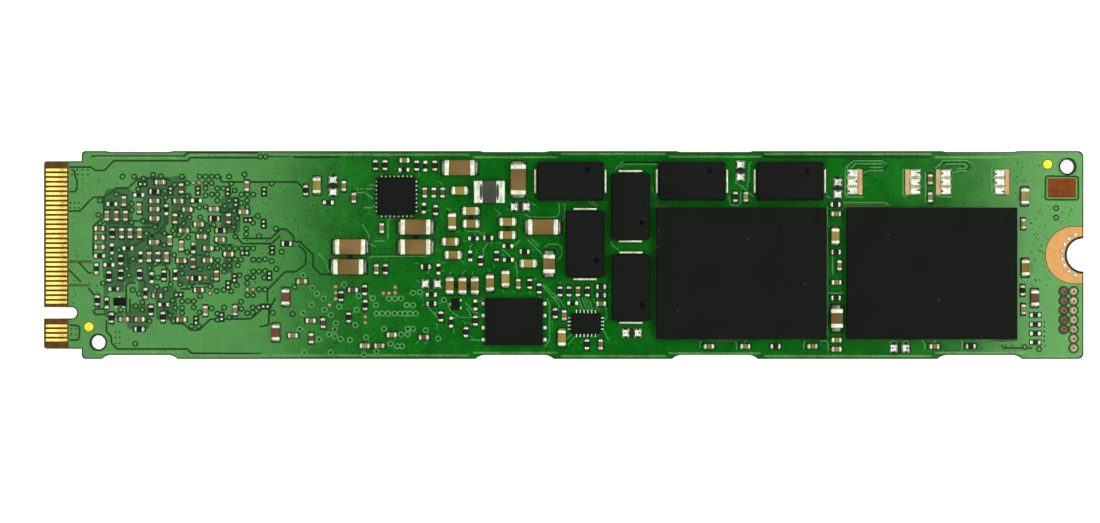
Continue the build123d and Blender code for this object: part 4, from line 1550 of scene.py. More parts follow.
@dataclass
class MaskRelief:
    """What shows through the lacquer: gaps in the copper, traces, vias and cleared areas."""

    repeater: Repeater
    drawer: PathDrawer
    lifts: Lifts = Lifts()
    corners: Corners = Corners()
    channel_width: float = 0.2
    trace_width: float = 0.13
    band_width: float = 0.3
    strip_width: float = 0.22
    fan_corner: float = 0.1
    clearance: float = 0.08
    cover_reach: float = 0.03
    chip_clearance: float = 0.62
    pair_reach: float = 1.05
    longest_seen: float = 2.2
    # Where the painted highlight and painted shade of the vias swap over.
    split: float = -28.0
    far_split: float = 40.0
    scatter_seed: int = 5
    bare_window: tuple[float, float, float, float] = (52.7, 7.1, 3.0, 2.05)
    pitted: tuple[tuple[float, float, float, float, int], ...] = (
        (-34.0, -21.0, -1.0, 7.4, 170), (-34.0, -19.0, -10.0, 10.0, 120),
        (-52.2, -49.0, -6.0, 8.0, 50), (49.2, 51.5, -3.6, 5.6, 60), (51.5, 54.2, 3.3, 5.6, 25),
        (43.2, 51.0, 5.8, 10.4, 50), (39.5, 54.0, -9.8, -9.0, 20))
    bare_zones: tuple[tuple[float, float, float, float], ...] = (
        (-45.0, 6.2, -41.2, 8.3), (-48.6, 3.2, -45.6, 7.0), (-48.8, -2.9, -45.2, 3.4),
        (-46.5, -1.2, -41.4, 2.4), (-44.6, 2.2, -42.0, 6.4), (-41.0, -3.2, -36.9, -0.4),
        (-48.7, -6.6, -46.5, -2.7), (-45.0, -4.0, -43.3, -0.8), (-43.2, -6.9, -40.9, -3.4),
        (-46.2, -7.9, -43.8, -5.2), (-41.6, 2.9, -39.3, 6.6), (-38.9, -1.0, -37.4, 3.3),
        (-36.3, 2.3, -34.2, 6.2), (-41.4, 6.6, -39.9, 8.4), (-36.0, -1.9, -34.9, 0.2))
    fan_tries: int = 5
    fan_first: Point = (0.25, 0.6)
    fan_second: Point = (0.2, 0.6)
    fan_width: float = 0.08
    fan_apart: float = 0.66
    fan_clear: float = 0.36
    fan_zones: tuple[tuple[float, float, float, float, int], ...] = (
        (-48.9, -33.0, -6.4, 7.9, 21), (-27.5, -13.0, -9.6, -2.4, 22),
        (-17.9, 8.0, -9.0, 9.5, 23))
    tiny: float = 0.4
    tiny_reach: float = 0.2
    flux_radius: float = 0.15
    flux_rise: float = 0.04
    flux_steps: int = 12
    bridge_reach: float = 1.55
    large_share: float = 1.5
    bridge_width: float = 0.55
    via_inner: float = 0.17
    via_outer: float = 0.33
    via_rise: float = 0.008
    via_centre_share: float = 0.8
    via_centre_rise: float = 0.012
    via_steps: int = 10
    open_ring: Point = (0.15, 0.3)
    open_ring_rise: float = 0.006
    open_cap_radius: float = 0.17
    open_cap_rise: float = 0.03
    open_cap_steps: int = 12
    stitch_radius: float = 0.1
    stitch_rise: float = 0.01
    stitch_steps: int = 10
    pit_radius: float = 0.07
    pit_rise: float = 0.004
    pit_steps: int = 8
    pit_sizes: Point = (0.5, 1.3)
    apron_nodes: tuple[str, ...] = ("power_chip", "boot_memory", "load_switch",
                                    "transistor_bodies")
    cleared_nodes: tuple[str, ...] = ("component_lands_upper", "spare_lands",
                                      "spare_capacitor_lands", "power_chip_leads",
                                      "boot_memory_leads", "load_switch_leads")
    stitch_rows: tuple[tuple[float, float, float, int, int, float], ...] = (
        (-52.0, 9.0, 0.55, 4, 2, -0.5), (-52.2, 5.5, 0.45, 3, 2, -0.5),
        (-23.5, 10.3, 0.57, 5, 1, 0.0), (-20.0, 0.6, 0.57, 4, 2, -0.5),
        (-21.6, 6.95, 0.5, 2, 2, -0.55), (32.1, 9.45, 0.53, 4, 1, 0.0),
        (40.4, 9.4, 0.57, 4, 1, 0.0), (46.8, -9.6, 0.6, 2, 1, 0.0),
        (-52.1, -7.8, 0.5, 2, 2, -0.6), (-47.4, -8.15, 0.4, 2, 3, -0.6),
        (50.85, -7.1, 0.0, 1, 5, -0.5))

    channels: list[list[Point]] = field(default_factory=lambda: [
        [(-50.0, 10.45), (-40.15, 10.45), (-39.9, 10.8), (-32.3, 10.8)],
        [(-52.35, 9.3), (-50.0, 9.3), (-49.6, 8.95), (-48.6, 8.95), (-47.6, 9.97), (-39.8, 9.97),
         (-39.5, 10.3), (-32.3, 10.3), (-31.9, 10.45), (-29.0, 10.5)],
        [(-52.0, 9.0), (-51.75, 8.9), (-51.7, 8.3), (-51.5, 8.0), (-51.5, 7.0), (-51.7, 6.7),
         (-52.3, 6.7)],
        [(-52.35, 4.65), (-51.2, 4.65), (-49.8, 6.1), (-48.7, 6.15)],
        [(-46.0, 7.1), (-47.4, 7.1), (-48.0, 6.5), (-48.65, 6.2), (-48.7, 4.0), (-49.75, 3.1),
         (-49.8, -0.1)],
        [(-46.0, 7.2), (-45.0, 8.1), (-42.0, 8.1), (-41.6, 7.8)],
        [(-36.3, 8.4), (-36.3, 7.72), (-28.2, 7.72), (-27.6, 7.1)],
        [(-34.9, 4.0), (-34.6, 3.4), (-34.9, 2.3), (-34.0, 1.2), (-30.9, 1.2), (-30.0, 2.05)],
        [(-34.0, 1.75), (-31.0, 1.75), (-29.95, 2.75), (-29.4, 2.75), (-28.6, 2.0), (-28.55, 1.4),
         (-27.9, 1.4), (-26.5, 0.0), (-26.55, -1.2), (-25.7, -2.05), (-21.0, -2.05)],
        [(-28.0, 1.0), (-27.3, 0.3), (-27.3, -0.95), (-28.3, -1.75), (-29.5, -1.8),
         (-31.35, -3.7), (-31.35, -5.0)],
        [(-41.9, -5.7), (-41.5, -7.25), (-40.2, -7.28), (-39.5, -7.95), (-38.6, -7.95),
         (-37.4, -6.8), (-33.1, -6.75), (-32.0, -5.8)],
        [(-48.4, -6.9), (-48.4, -8.1), (-47.9, -8.6), (-47.85, -9.3), (-47.3, -9.95),
         (-39.8, -9.95), (-39.4, -10.4), (-32.0, -10.45)],
        [(-51.3, -0.8), (-50.3, -1.9), (-49.9, -1.9)],
        [(-52.35, -1.55), (-51.1, -2.85)],
        [(-50.3, -3.5), (-49.7, -4.2)],
        [(-48.5, -6.25), (-49.5, -6.3), (-49.85, -6.0), (-49.5, -5.7), (-48.6, -5.7)],
        [(-46.3, -6.4), (-46.3, -3.2), (-46.0, -2.95), (-45.3, -2.95)],
        [(-45.9, -6.0), (-45.9, -4.6)],
        [(-28.8, 10.75), (-28.55, 10.35), (-23.9, 10.35), (-23.65, 10.65)],
        [(-44.8, 3.9), (-44.4, 3.4), (-43.0, 3.3), (-42.7, 2.9), (-47.9, 2.95)],
        [(-42.2, 6.2), (-42.2, 3.2), (-42.8, 2.5), (-45.4, 1.0)],
        [(-41.0, 2.0), (-40.9, 3.0), (-40.2, 3.6), (-39.7, 4.2)],
        [(-48.6, 3.6), (-43.9, 3.6), (-43.5, 4.0)], [(-47.2, 2.4), (-43.8, 2.35), (-43.2, 1.6)],
        [(-43.0, 4.9), (-42.2, 4.9), (-41.9, 4.4), (-41.9, 3.2)],
        [(-41.6, 1.9), (-40.6, 1.9), (-40.1, 2.4), (-39.0, 2.4), (-38.6, 2.0), (-37.6, 2.0)],
        [(-43.6, 0.9), (-43.6, -0.5), (-43.0, -1.1)], [(-42.4, -0.9), (-41.7, -1.7), (-41.7, -3.0)],
        [(-45.0, -2.2), (-44.3, -2.9), (-44.3, -3.8)],
        [(-38.6, -3.0), (-37.6, -3.0), (-37.0, -3.4)],
        [(-40.6, -3.6), (-39.6, -3.6), (-39.0, -3.0)], [(-36.4, 4.5), (-35.6, 4.5), (-35.2, 5.0)],
        [(-40.9, 4.6), (-40.2, 4.6), (-39.8, 5.0), (-38.8, 5.0)], [(-42.9, -4.8), (-41.7, -6.4)],
        [(-38.4, 3.4), (-37.6, 3.4), (-37.3, 2.9)], [(-39.9, 0.4), (-39.2, 0.0), (-38.2, 0.0)],
        [(-37.0, 1.3), (-36.4, 1.1), (-35.0, 1.1)],
        [(-52.3, -9.0), (-51.3, -9.0), (-51.2, -7.5), (-52.3, -7.4)],
        [(-30.5, -4.5), (-31.2, -5.9), (-31.2, -7.4), (-32.2, -7.6)],
        [(21.1, 10.5), (21.4, 10.35), (38.8, 10.35)],
        [(30.3, 10.05), (33.7, 10.05), (34.25, 9.45), (33.9, 9.05), (32.2, 9.05), (31.75, 8.6)],
        [(40.0, 9.75), (42.7, 9.75), (43.05, 9.4), (42.8, 9.1), (41.8, 9.1), (41.2, 8.6)],
        [(46.5, -9.3), (46.3, -9.6), (46.6, -9.85), (49.6, -9.85)],
        [(6.3, 9.82), (10.1, 9.82)],
        [(54.45, 5.9), (54.45, 8.3), (51.0, 8.35), (50.95, 5.85), (54.4, 5.85)],
    ])
    traces: list[list[Point]] = field(default_factory=lambda: [
        [(-26.0, 0.2), (-25.2, -0.6), (-24.9, -1.75), (-22.0, -1.75)],
        [(-22.0, 7.0), (-19.9, 7.0)], [(-22.0, 6.6), (-21.0, 6.6), (-20.1, 5.9)],
        [(-20.6, 7.4), (-19.9, 7.4)],
        [(-21.2, 5.0), (-20.4, 5.0), (-19.9, 5.4)],
        [(-21.3, 3.2), (-20.6, 2.1), (-20.6, 1.2), (-19.9, 0.9)],
        [(-18.6, 1.7), (-18.6, 3.6), (-18.2, 4.0)], [(-18.9, 1.5), (-20.1, 1.45)],
        [(-20.6, -0.4), (-20.3, -0.15), (-14.6, -0.15), (-13.6, 0.8)],
        [(-14.4, -5.5), (-14.0, -5.9), (-13.3, -6.7)],
        [(-12.3, -5.0), (-12.0, -5.9), (-11.0, -6.6), (-9.0, -6.6)],
        [(-10.4, -5.0), (-9.6, -6.0), (-9.0, -6.2)], [(-10.3, -5.6), (-9.7, -6.6)],
        [(-9.9, -9.0), (-8.8, -9.0)], [(-12.4, 5.0), (-11.6, 4.3)],
        [(-10.2, 2.5), (-9.0, 2.5), (-8.5, 2.1)], [(-8.5, -0.2), (-8.5, 0.6), (-8.0, 1.3)],
        [(-6.6, 0.8), (-5.0, -0.9), (-4.9, -2.4)], [(-5.3, 0.9), (-4.6, 1.6)],
        [(-6.6, 4.2), (-7.3, 4.9)], [(-3.8, 5.7), (-2.9, 5.2)],
        [(-3.3, 4.1), (-3.0, 4.0), (-0.8, 4.0), (-0.5, 4.3), (-0.5, 5.5)],
        [(-4.1, 4.3), (-3.4, 3.9)], [(0.1, 5.5), (0.1, 4.0), (-0.3, 3.5)],
        [(-3.8, 1.6), (-2.3, 0.1), (-2.3, -0.3)], [(-3.4, 1.7), (-2.6, 0.9)],
        [(-2.0, 0.8), (-1.6, 1.15), (-0.6, 1.15), (-0.2, 0.8), (-0.2, 0.0), (-0.6, -0.5)],
        [(-2.3, -3.2), (-0.5, -5.2), (-0.5, -5.6)], [(-2.0, -3.2), (-0.2, -5.0)],
        [(-1.8, -4.6), (-1.5, -5.2), (-1.5, -9.0), (-2.0, -9.7)],
        [(1.9, -4.5), (2.5, -5.9)], [(2.2, -4.4), (2.8, -5.9)], [(2.7, -4.8), (3.1, -5.9)],
        [(1.5, -4.5), (2.1, -5.9)], [(3.2, -4.7), (3.5, -5.7)],
        [(4.5, -5.5), (4.55, -6.7), (4.2, -7.0)], [(4.2, -8.0), (4.8, -9.0)],
        [(1.4, -8.4), (0.4, -9.6)], [(1.0, -8.2), (0.3, -8.9)],
        [(5.5, 8.9), (5.55, 9.2), (6.3, 9.9)], [(6.0, 9.2), (6.4, 9.6), (10.0, 9.6)],
        [(9.35, 7.35), (9.45, 6.7), (9.8, 6.2)], [(2.6, 5.7), (3.2, 5.1)], [(3.0, 5.7), (3.6, 5.1)],
        [(5.05, 1.4), (5.1, 1.1), (5.8, 0.5)],
        [(19.8, 9.9), (19.6, 9.5), (19.6, 8.0), (19.4, 7.1)],
        [(18.1, 7.75), (18.8, 7.3), (20.2, 6.1)],
        [(17.5, 6.2), (17.6, 5.3), (18.6, 5.25)], [(18.75, 6.6), (18.75, 5.4)],
        [(18.1, -9.1), (18.3, -9.4), (18.3, -10.0)], [(19.35, -9.0), (19.05, -9.35)],
        [(27.75, 6.3), (28.2, 6.0)], [(27.9, 5.1), (27.9, 3.0)], [(27.9, 3.0), (29.0, 3.1)],
        [(27.85, 2.8), (27.85, -8.6)], [(28.0, -4.05), (29.5, -4.05)],
        [(28.45, -0.2), (28.45, -2.0)],
        [(29.85, 9.2), (30.65, 9.97), (33.7, 9.97), (34.15, 9.6)],
        [(30.4, 9.2), (30.85, 9.65), (33.6, 9.65), (33.95, 9.45), (33.6, 9.25), (32.4, 9.25)],
        [(31.7, 8.65), (32.2, 8.95), (33.9, 8.95)], [(29.8, 9.0), (29.8, 6.15), (31.7, 6.15)],
        [(29.6, 5.55), (34.1, 5.55), (34.4, 5.2)],
        [(35.9, 9.1), (35.9, 6.3), (36.3, 6.15)], [(38.3, 8.8), (38.3, 5.5)],
        [(39.3, 9.2), (39.9, 9.6), (40.1, 10.0), (42.6, 10.0), (43.05, 9.7)],
        [(40.3, 9.3), (40.5, 9.65), (42.5, 9.65), (42.8, 9.4), (42.5, 9.15), (41.6, 9.15)],
        [(39.4, 6.2), (41.1, 6.15)], [(45.3, 9.0), (45.3, 6.5), (45.6, 6.2)],
        [(41.1, 8.65), (41.8, 8.95), (42.7, 8.9)],
        [(37.9, -9.0), (38.2, -9.4), (38.25, -10.0)], [(39.4, -9.0), (39.1, -9.35)],
        [(42.15, -9.0), (42.15, -10.0)], [(46.3, -9.5), (46.6, -9.25), (48.2, -9.2)],
        [(34.4, -9.3), (34.8, -9.1), (35.3, -9.2)], [(35.9, -9.2), (36.3, -9.05), (36.7, -9.5)],
        [(48.1, -2.1), (48.6, -2.5), (49.6, -2.6), (49.85, -2.2), (49.4, -1.7)],
        [(50.5, -5.0), (51.3, -5.0), (51.35, -5.35), (50.5, -5.4)],
        [(50.9, -6.6), (51.1, -7.0), (51.0, -9.0)], [(14.5, -9.1), (14.4, -9.9)],
        [(25.5, -9.0), (25.4, -9.9)], [(27.2, -9.1), (27.95, -9.1), (28.0, -10.2)],
    ])
    edge_strips: list[list[Point]] = field(default_factory=lambda: [
        [(x0, side * y0), (x1, side * y1)]
        for side in (1, -1)
        for x0, y0, x1, y1 in (
            (-49.6, 10.3, -40.3, 10.3), (-39.6, 10.62, -10.0, 10.62), (-9.6, 10.35, -0.7, 10.35),
            (-0.3, 10.7, 10.8, 10.7), (11.1, 10.4, 20.9, 10.4), (21.2, 10.7, 38.9, 10.7),
            (39.3, 10.35, 48.9, 10.35), (49.2, 10.7, 54.0, 10.7))
    ])
    brown_bands: list[list[Point]] = field(default_factory=lambda: [
        [(-52.35, -0.7), (-49.9, -0.7)], [(-52.35, -3.2), (-50.1, -3.2)],
        [(45.4, -9.03), (48.0, -9.03)], [(15.2, -9.0), (17.9, -9.0)], [(9.7, 5.12), (11.0, 5.12)],
        [(29.7, 5.25), (34.2, 5.25)],
    ])
    vias: list[Point] = field(default_factory=lambda: [
        (-46.7, 8.3), (-45.45, 8.3), (-40.4, 8.3), (-38.55, 8.3), (-37.9, 8.3), (-37.25, 8.3),
        (-36.65, 8.3), (-35.4, 8.3), (-39.85, 7.6), (-37.9, 7.6), (-37.25, 7.6), (-37.9, 7.05),
        (-36.65, 7.05), (-36.0, 7.05), (-37.9, 6.3), (-37.25, 6.4), (-36.65, 6.4), (-34.1, 6.4),
        (-33.5, 6.4), (-32.85, 6.4), (-36.65, 5.75), (-35.4, 5.75), (-33.5, 5.75), (-38.55, 5.05),
        (-37.9, 5.1), (-36.65, 0.7), (-36.0, 0.7), (-35.4, 0.7), (-34.75, 0.7), (-34.1, 0.7),
        (-33.5, 0.7), (-32.85, 0.7), (-36.6, -0.55), (-35.4, -0.5), (-34.75, -0.5), (-34.15, -0.5),
        (-32.85, -0.5), (-32.25, -0.55), (-31.6, -0.45), (-30.9, -0.65), (-36.6, -1.15),
        (-35.9, -1.1), (-35.4, -1.15), (-34.5, -1.1), (-30.4, -1.5), (-35.95, -1.75),
        (-32.85, -1.75), (-32.25, -1.75), (-31.6, -1.7), (-31.7, -2.4), (-37.2, -2.45),
        (-34.3, -2.15), (-33.5, -2.4), (-32.85, -2.35), (-33.5, -3.0), (-34.6, -3.2),
        (-36.75, -3.8), (-36.0, -3.7), (-35.2, -3.85), (-32.25, -3.65), (-31.6, -3.65),
        (-38.5, -4.35), (-33.5, -4.25), (-32.9, -4.25), (-40.4, -4.9), (-39.75, -4.9),
        (-39.15, -4.9), (-34.15, -4.95), (-41.1, -5.6), (-40.4, -5.6), (-39.15, -5.55),
        (-32.9, -5.55), (-32.25, -5.55), (-40.4, -6.15), (-33.5, -6.15), (-32.9, -6.1),
        (-39.4, -7.55), (-38.65, -7.55), (-36.65, -6.2), (-36.65, -6.85), (-45.35, -9.4),
        (-32.1, 10.4), (-31.55, 10.4), (-30.9, 7.55), (-30.45, 2.8), (-32.25, 2.0), (-29.85, 0.35),
        (-28.7, -6.25), (-28.5, -3.4), (-26.65, -5.25), (-27.9, -7.85), (-19.85, -5.3),
        (-19.2, -6.2), (-18.6, -6.2), (-19.8, -6.2), (-17.9, -6.2), (-17.3, -6.2), (-16.8, -6.2),
        (-16.25, -6.2), (-15.65, -6.2), (-16.6, -5.3), (-15.95, -5.3), (-15.95, -4.0),
        (-18.5, -4.6), (-17.85, -4.6), (-17.2, -4.6), (-16.5, -7.8), (-15.95, -7.8), (-16.5, -8.4),
        (-17.2, -8.4), (-17.6, -9.65), (-17.1, -9.65), (-13.25, -8.85), (-19.0, -7.8),
        (-27.45, -10.3), (-24.65, -10.3), (52.1, 4.95), (52.1, 3.95), (48.8, -9.75), (50.3, -9.95),
        (-30.8, -6.1), (-34.75, 1.95), (-33.6, 2.2), (-33.6, 2.8), (-32.9, 3.4), (-33.5, 5.1),
        (-26.6, -3.5), (-26.1, -4.1), (-25.4, -4.6), (-25.3, -5.8), (-24.2, -7.9), (-24.2, -8.6),
        (-24.1, -7.2), (-23.6, -8.9), (-24.8, -8.4), (-22.6, -9.0), (-43.2, -0.95), (-41.6, -3.1),
        (-40.6, -3.1), (-45.6, -3.7), (-44.6, -5.0), (-44.6, -5.8), (-45.3, -5.4),
    ])
    open_vias: list[Point] = field(default_factory=lambda: [
        (-24.15, -3.35), (-24.15, -4.0), (-24.15, -4.65), (-24.8, -5.3), (-21.0, -6.55),
        (-21.0, -7.15), (-17.85, -3.4), (-19.1, -4.05), (-18.5, -4.05), (-17.85, -4.0),
        (-39.8, -2.4), (-37.9, -2.4), (-37.45, -4.05), (-33.5, -3.65), (-32.9, -3.65),
        (-39.2, 7.65), (-38.6, 7.65),
    ])

    @staticmethod
    def patch(block: Block, reach: float, height: float) -> Spot:
        """Find where a flat patch goes.

        Args:
            block: what it covers.
            reach: how far it goes past the block on each side.
            height: its height in millimetres.

        Returns:
            The patch's spot.
        """
        stretch = Vector((block.size.x + 2 * reach, block.size.y + 2 * reach, 1.0))
        return Spot(Vector((block.centre.x, block.centre.y, height)), 0.0, stretch)

    def pairs(self, node: str) -> list[Block]:
        """Return the boxes round each small land and its neighbour.

        Args:
            node: the node of lands.

        Returns:
            One block for each pair.
        """
        lands = blocks(node)
        found = []
        for land in lands:
            others = [other for other in lands if other is not land]
            near = min(others, key=lambda other: (other.centre - land.centre).length)
            if (near.centre - land.centre).length < self.pair_reach:
                low = Vector(min(land.low[axis], near.low[axis]) for axis in range(3))
                high = Vector(max(land.high[axis], near.high[axis]) for axis in range(3))
                found.append(Block(low, high))
        return found

    def stacked(self, spots: list[Spot]) -> list[Spot]:
        """Lift each spot a hair above the last one, so that no two patches share a plane."""
        for number, spot in enumerate(spots):
            spot.place.z += number * self.lifts.between_patches
        return spots

    def scatter(self, level: float) -> list[Spot]:
        """Scatter small pits over the lacquer, the same at each run.

        Args:
            level: their height in millimetres.

        Returns:
            Their places.
        """
        dice = random.Random(self.scatter_seed)
        spots = []
        for low_x, high_x, low_y, high_y, count in self.pitted:
            for _ in range(count):
                size = dice.uniform(*self.pit_sizes)
                place = Vector((dice.uniform(low_x, high_x), dice.uniform(low_y, high_y), level))
                spots.append(Spot(place, 0.0, Vector((size, size, 1.0))))
        return spots

    def fan_outs(self, west: float, east: float, south: float, north: float,
                 seed: int) -> tuple[list[list[Point]], list[Point]]:
        """Route short tracks from lands to vias of their own, clear of lands and other vias.

        Args:
            west: the lowest X of the lands that are routed.
            east: the highest X.
            south: the lowest Y.
            north: the highest Y.
            seed: the random seed.

        Returns:
            The tracks, and the places of their vias.
        """
        dice = random.Random(seed)
        solids = [block for node in ("component_lands_upper", "spare_lands", "transistor_bodies")
                  for block in blocks(node)]
        taken = list(self.vias) + list(self.open_vias)
        tracks = []
        ends = []
        for land in solids:
            x, y = land.centre.x, land.centre.y
            if not (west < x < east and south < y < north):
                continue
            for _ in range(self.fan_tries):
                angle = dice.randrange(8) * math.pi / 4
                first, second = dice.uniform(*self.fan_first), dice.uniform(*self.fan_second)
                bend = angle + dice.choice((-1, 1)) * math.pi / 4
                knee = (x + math.cos(angle) * first, y + math.sin(angle) * first)
                end = (knee[0] + math.cos(bend) * second, knee[1] + math.sin(bend) * second)
                apart = min(math.dist(end, other) for other in taken)
                clear = min(math.hypot(max(abs(end[0] - solid.centre.x) - solid.size.x / 2, 0),
                                       max(abs(end[1] - solid.centre.y) - solid.size.y / 2, 0))
                            for solid in solids)
                if apart > self.fan_apart and clear > self.fan_clear:
                    taken.append(end)
                    tracks.append([(x, y), knee, end])
                    ends.append(end)
                    break
        return tracks, ends

    def bridges(self) -> list[Block]:
        """Find where painted shadow goes: the dark gaps between neighbouring larger capacitors.

        Returns:
            One block for each gap.
        """
        chips = [chip for node in ("medium_capacitors_tan", "medium_capacitors_brown",
                                   "large_capacitors") for chip in blocks(node)]
        large = blocks("large_capacitors")
        found = []
        half = self.bridge_width / 2
        for number, chip in enumerate(chips):
            for other in chips[number + 1:]:
                apart = other.centre - chip.centre
                alike = chip in large and other in large
                limit = self.bridge_reach * (self.large_share if alike else 1.0)
                if apart.length > limit or min(abs(apart.x), abs(apart.y)) > half:
                    continue
                middle = (chip.centre + other.centre) / 2
                reach = Vector((half, abs(apart.y) / 2, 0))
                if abs(apart.x) > abs(apart.y):
                    reach = Vector((abs(apart.x) / 2, half, 0))
                found.append(Block(middle - reach, middle + reach))
        return found

    def stitch_dots(self) -> list[Spot]:
        """Return the places of small filled vias, most of them in regular rows."""
        spots = []
        for x, y, step_x, columns, lines, step_y in self.stitch_rows:
            spots += [Spot(Vector((x + i * step_x, y + j * step_y, 0)))
                      for i in range(columns) for j in range(lines)]
        return spots

    def routes(self, level: float) -> tuple[list[Point], list[Point]]:
        """Draw the gaps in the copper, the bands, the traces and the strips along the edges.

        Args:
            level: the height of the mask's face in millimetres.

        Returns:
            The vias at the ends of the short tracks, dark ones and light ones.
        """
        (dark_tracks, dark_ends), (light_tracks, light_ends), (blind_tracks, _) = (
            self.fan_outs(*zone) for zone in self.fan_zones)
        draw, lifts = self.drawer.place, self.lifts
        draw("fan_out_gaps", dark_tracks, level + lifts.fan_out, self.trace_width, MASK_DARK,
             self.fan_corner)
        draw("fan_out_traces", light_tracks + blind_tracks, level + lifts.fan_out, self.fan_width,
             MASK_LIGHT, self.fan_corner)
        draw("copper_gaps", self.channels, level + lifts.channel, self.channel_width, MASK_DARK)
        draw("brown_bands", self.brown_bands, level + lifts.channel, self.band_width, MASK_BROWN)
        draw("copper_traces", self.traces, level + lifts.trace, self.trace_width, MASK_LIGHT)
        draw("edge_strips", self.edge_strips, level + lifts.strip, self.strip_width, MASK_EDGE)
        return dark_ends, light_ends

    def round_parts(self, level: float) -> None:
        """Lay what surrounds the parts: aprons, clearance rims in painted shade, painted shadow in
        the gaps between capacitors, and land covers.

        Args:
            level: the height of the mask's face in millimetres.
        """
        place, lifts, corners = self.repeater.place, self.lifts, self.corners
        aprons = [self.patch(block, self.chip_clearance, level + lifts.apron)
                  for node in self.apron_nodes for block in blocks(node)]
        place("chip_aprons", flat_patch(corners.apron), self.stacked(aprons), MASK)
        # Painted shade: near-black lacquer rims round the small lands, where the mask clearance
        # lies in shadow.
        rims = [self.patch(block, self.clearance, level + lifts.clearance)
                for node in self.cleared_nodes for block in blocks(node)
                if max(block.size.x, block.size.y) < self.longest_seen]
        place("land_clearances", flat_patch(corners.clearance), self.stacked(rims), MASK_SHADOW)
        # Painted shadow: near-black patches in the gaps between neighbouring capacitors.
        spans = [self.patch(span, 0.0, level + lifts.bridge) for span in self.bridges()]
        place("capacitor_gaps", flat_patch(corners.gap), self.stacked(spans), GLAZE_AND_GAP_SHADOW)
        covers = [self.patch(block, self.cover_reach, block.high.z + lifts.cover_over_land)
                  for block in blocks("component_lands_upper")
                  if max(block.size.x, block.size.y) > self.longest_seen]
        place("case_land_covers", flat_patch(corners.cover), covers, MASK)

    def empty_lands(self, level: float) -> None:
        """Lay the dark gaps and the flux between the lands that have no part.

        Args:
            level: the height of the mask's face in millimetres.
        """
        gaps = []
        middles = set()
        for pair in self.pairs("spare_lands"):
            tiny = min(pair.size.x, pair.size.y) < self.tiny
            reach = self.tiny_reach if tiny else self.cover_reach
            gaps.append(self.patch(pair, reach, level + self.lifts.land_gap))
            if not tiny:
                middles.add((round(pair.centre.x, 3), round(pair.centre.y, 3)))
        self.repeater.place("land_gaps", flat_patch(self.corners.gap), self.stacked(gaps),
                            MASK_DARK)
        flux = [Spot(Vector((x, y, level + self.lifts.flux))) for x, y in sorted(middles)]
        drop = disc(self.flux_radius, self.flux_rise, self.flux_steps)
        self.repeater.place("land_flux", drop, flux, GLAZE_AND_GAP_SHADOW)

    def bare_areas(self, level: float) -> None:
        """Lay the areas with no copper under the lacquer, its pits and the bare window.

        Args:
            level: the height of the mask's face in millimetres.
        """
        place, lifts, corners = self.repeater.place, self.lifts, self.corners
        zones = [self.patch(Block(Vector((x0, y0, 0)), Vector((x1, y1, 0))), 0.0,
                            level + lifts.zone) for x0, y0, x1, y1 in self.bare_zones]
        place("bare_zones", flat_patch(corners.zone), self.stacked(zones), MASK_BARE)
        pit = disc(self.pit_radius, self.pit_rise, self.pit_steps)
        place("lacquer_pits", pit, self.scatter(level + lifts.pit), MASK_DARK)
        x, y, width, height = self.bare_window
        half = Vector((width / 2, height / 2, 0))
        middle = Vector((x, y, 0))
        window = self.patch(Block(middle - half, middle + half), 0.0, level + lifts.window)
        place("bare_window", flat_patch(corners.window), [window], WINDOW)

    def drill(self, level: float, dark_ends: list[Point], light_ends: list[Point]) -> None:
        """Make every via, dark-rimmed at the card's ends and light-rimmed in its middle; these rims
        and centres are painted highlight and painted shade, swapped where the lighting on the
        lacquer changes.

        Args:
            level: the height of the mask's face in millimetres.
            dark_ends: more places of dark-rimmed vias.
            light_ends: more places of light-rimmed vias.
        """
        place, lifts = self.repeater.place, self.lifts
        middle_vias = [via for via in self.vias if self.split <= via[0] < self.far_split]
        end_vias = [via for via in self.vias if via not in middle_vias] + dark_ends
        for name, rim, middle, places in (
                ("ends", MASK_DARK, MASK_LIGHT, end_vias),
                ("middle", MASK_LIGHT, MASK_DARK, middle_vias + light_ends)):
            spots = [Spot(Vector((x, y, level + lifts.via))) for x, y in places]
            place(f"via_rings_{name}", ring(self.via_inner, self.via_outer, self.via_rise), spots,
                  rim)
            centre = disc(self.via_inner * self.via_centre_share, self.via_centre_rise,
                          self.via_steps)
            place(f"via_centres_{name}", centre, spots, middle)
        spots = [Spot(Vector((x, y, level + lifts.open_via))) for x, y in self.open_vias]
        place("open_via_rings", ring(*self.open_ring, self.open_ring_rise), spots, MASK_BROWN)
        cap = disc(self.open_cap_radius, self.open_cap_rise, self.open_cap_steps)
        place("open_via_caps", cap, spots, TEST_COPPER)
        lift = Vector((0, 0, level + lifts.stitch))
        dots = [Spot(spot.place + lift) for spot in self.stitch_dots()]
        dot = disc(self.stitch_radius, self.stitch_rise, self.stitch_steps)
        place("stitch_vias", dot, dots, MASK_DARK)

    def build(self, level: float) -> None:
        """Make the relief.

        Args:
            level: the height of the mask's face in millimetres.
        """
        dark_ends, light_ends = self.routes(level)
        self.round_parts(level)
        self.empty_lands(level)
        self.bare_areas(level)
        self.drill(level, dark_ends, light_ends)


@dataclass(frozen=True)
class SoftBox:
    """One rectangular soft light."""

    name: str
    place: tuple[float, float, float]
    size: Point
    power: float
    target: tuple[float, float, float] = (0.0, 0.0, 0.0)

    def hang(self) -> None:
        """Put the light in its place, facing its target."""
        lamp = bpy.data.lights.new(self.name, "AREA")
        lamp.shape = "RECTANGLE"
        lamp.size = self.size[0] * MM
        lamp.size_y = self.size[1] * MM
        lamp.energy = self.power
        made = bpy.data.objects.new(self.name, lamp)
        made.location = Vector(self.place) * MM
        facing = (Vector(self.target) - Vector(self.place)).to_track_quat("-Z", "Y")
        made.rotation_euler = facing.to_euler()
        bpy.context.scene.collection.objects.link(made)


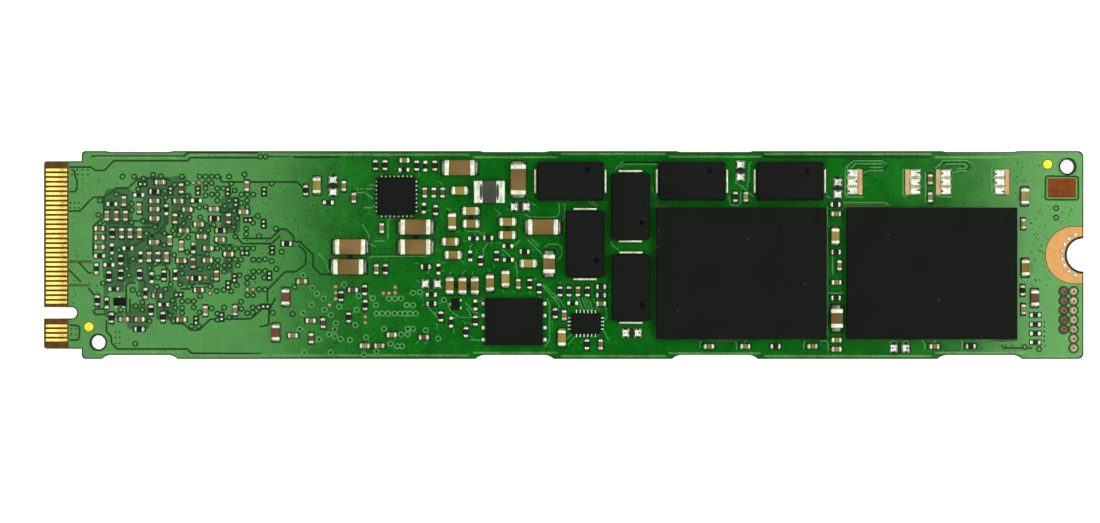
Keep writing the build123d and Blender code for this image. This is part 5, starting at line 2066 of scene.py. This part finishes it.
@dataclass
class Studio:
    """Floor, camera and soft lights, with a dark gap between the two that the lacquer mirrors."""

    view_centre: Point = (-1.45, -0.69)
    view_width: float = 116.4
    lens: float = 120.0
    sensor: float = 36.0
    clip: Point = (0.01, 20.0)
    floor_size: float = 4000.0
    floor_drop: float = 0.02
    sky: float = 0.06
    boxes: tuple[SoftBox, ...] = (
        SoftBox("left_box", (-265, 0, 600), (390, 700), 2.0, (-265, 0, 0)),
        SoftBox("right_box", (325, 0, 600), (410, 700), 3.6, (325, 0, 0)),
        SoftBox("back_box", (0, 900, 700), (1600, 500), 3.0),
        SoftBox("front_box", (0, -900, 700), (1600, 500), 3.0))

    def lay_floor(self) -> None:
        """Lay the floor just under the card."""
        sheet = bmesh.new()
        bmesh.ops.create_grid(sheet, x_segments=4, y_segments=4, size=self.floor_size / 2 * MM)
        bmesh.ops.translate(sheet, verts=sheet.verts, vec=(0, 0, -self.floor_drop * MM))
        mesh = finished(sheet, "studio_floor")
        mesh.materials.append(FLOOR.material())
        ground = bpy.data.objects.new("studio_floor", mesh)
        bpy.context.scene.collection.objects.link(ground)

    def set_camera(self, surface: float) -> None:
        """Hang the camera straight above the card.

        Args:
            surface: the height of the face that the view's width is measured on.
        """
        lens = bpy.data.cameras.new("camera")
        lens.lens = self.lens
        lens.sensor_width = self.sensor
        lens.clip_start, lens.clip_end = self.clip
        camera = bpy.data.objects.new("camera", lens)
        height = surface + self.lens / self.sensor * self.view_width
        camera.location = Vector((*self.view_centre, height)) * MM
        bpy.context.scene.collection.objects.link(camera)
        bpy.context.scene.camera = camera

    def build(self, surface: float) -> None:
        """Make the studio.

        Args:
            surface: the height of the face that the view's width is measured on.
        """
        self.lay_floor()
        self.set_camera(surface)
        for box in self.boxes:
            box.hang()
        world = bpy.data.worlds.new("studio")
        world.use_nodes = True
        backdrop = world.node_tree.nodes["Background"]
        backdrop.inputs["Color"].default_value = (1.0, 1.0, 1.0, 1.0)
        backdrop.inputs["Strength"].default_value = self.sky
        bpy.context.scene.world = world
        bpy.context.scene.view_settings.view_transform = "Standard"


def main() -> None:
    """Build the card's looks in order and report each piece."""
    logging.basicConfig(level=logging.INFO, format="%(name)s %(message)s")
    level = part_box("solder_mask_upper")[1].z / MM
    repeater = Repeater()
    packages = Packages()
    BarePieces().build()
    SmallParts(repeater).build()
    packages.build()
    HoldUpCapacitors(packages).build(repeater)
    SolderWork(repeater).build()
    Marks(repeater).build(level)
    MaskRelief(repeater, PathDrawer()).build(level)
    Studio().build(level)


if __name__ == "__main__":
    main()
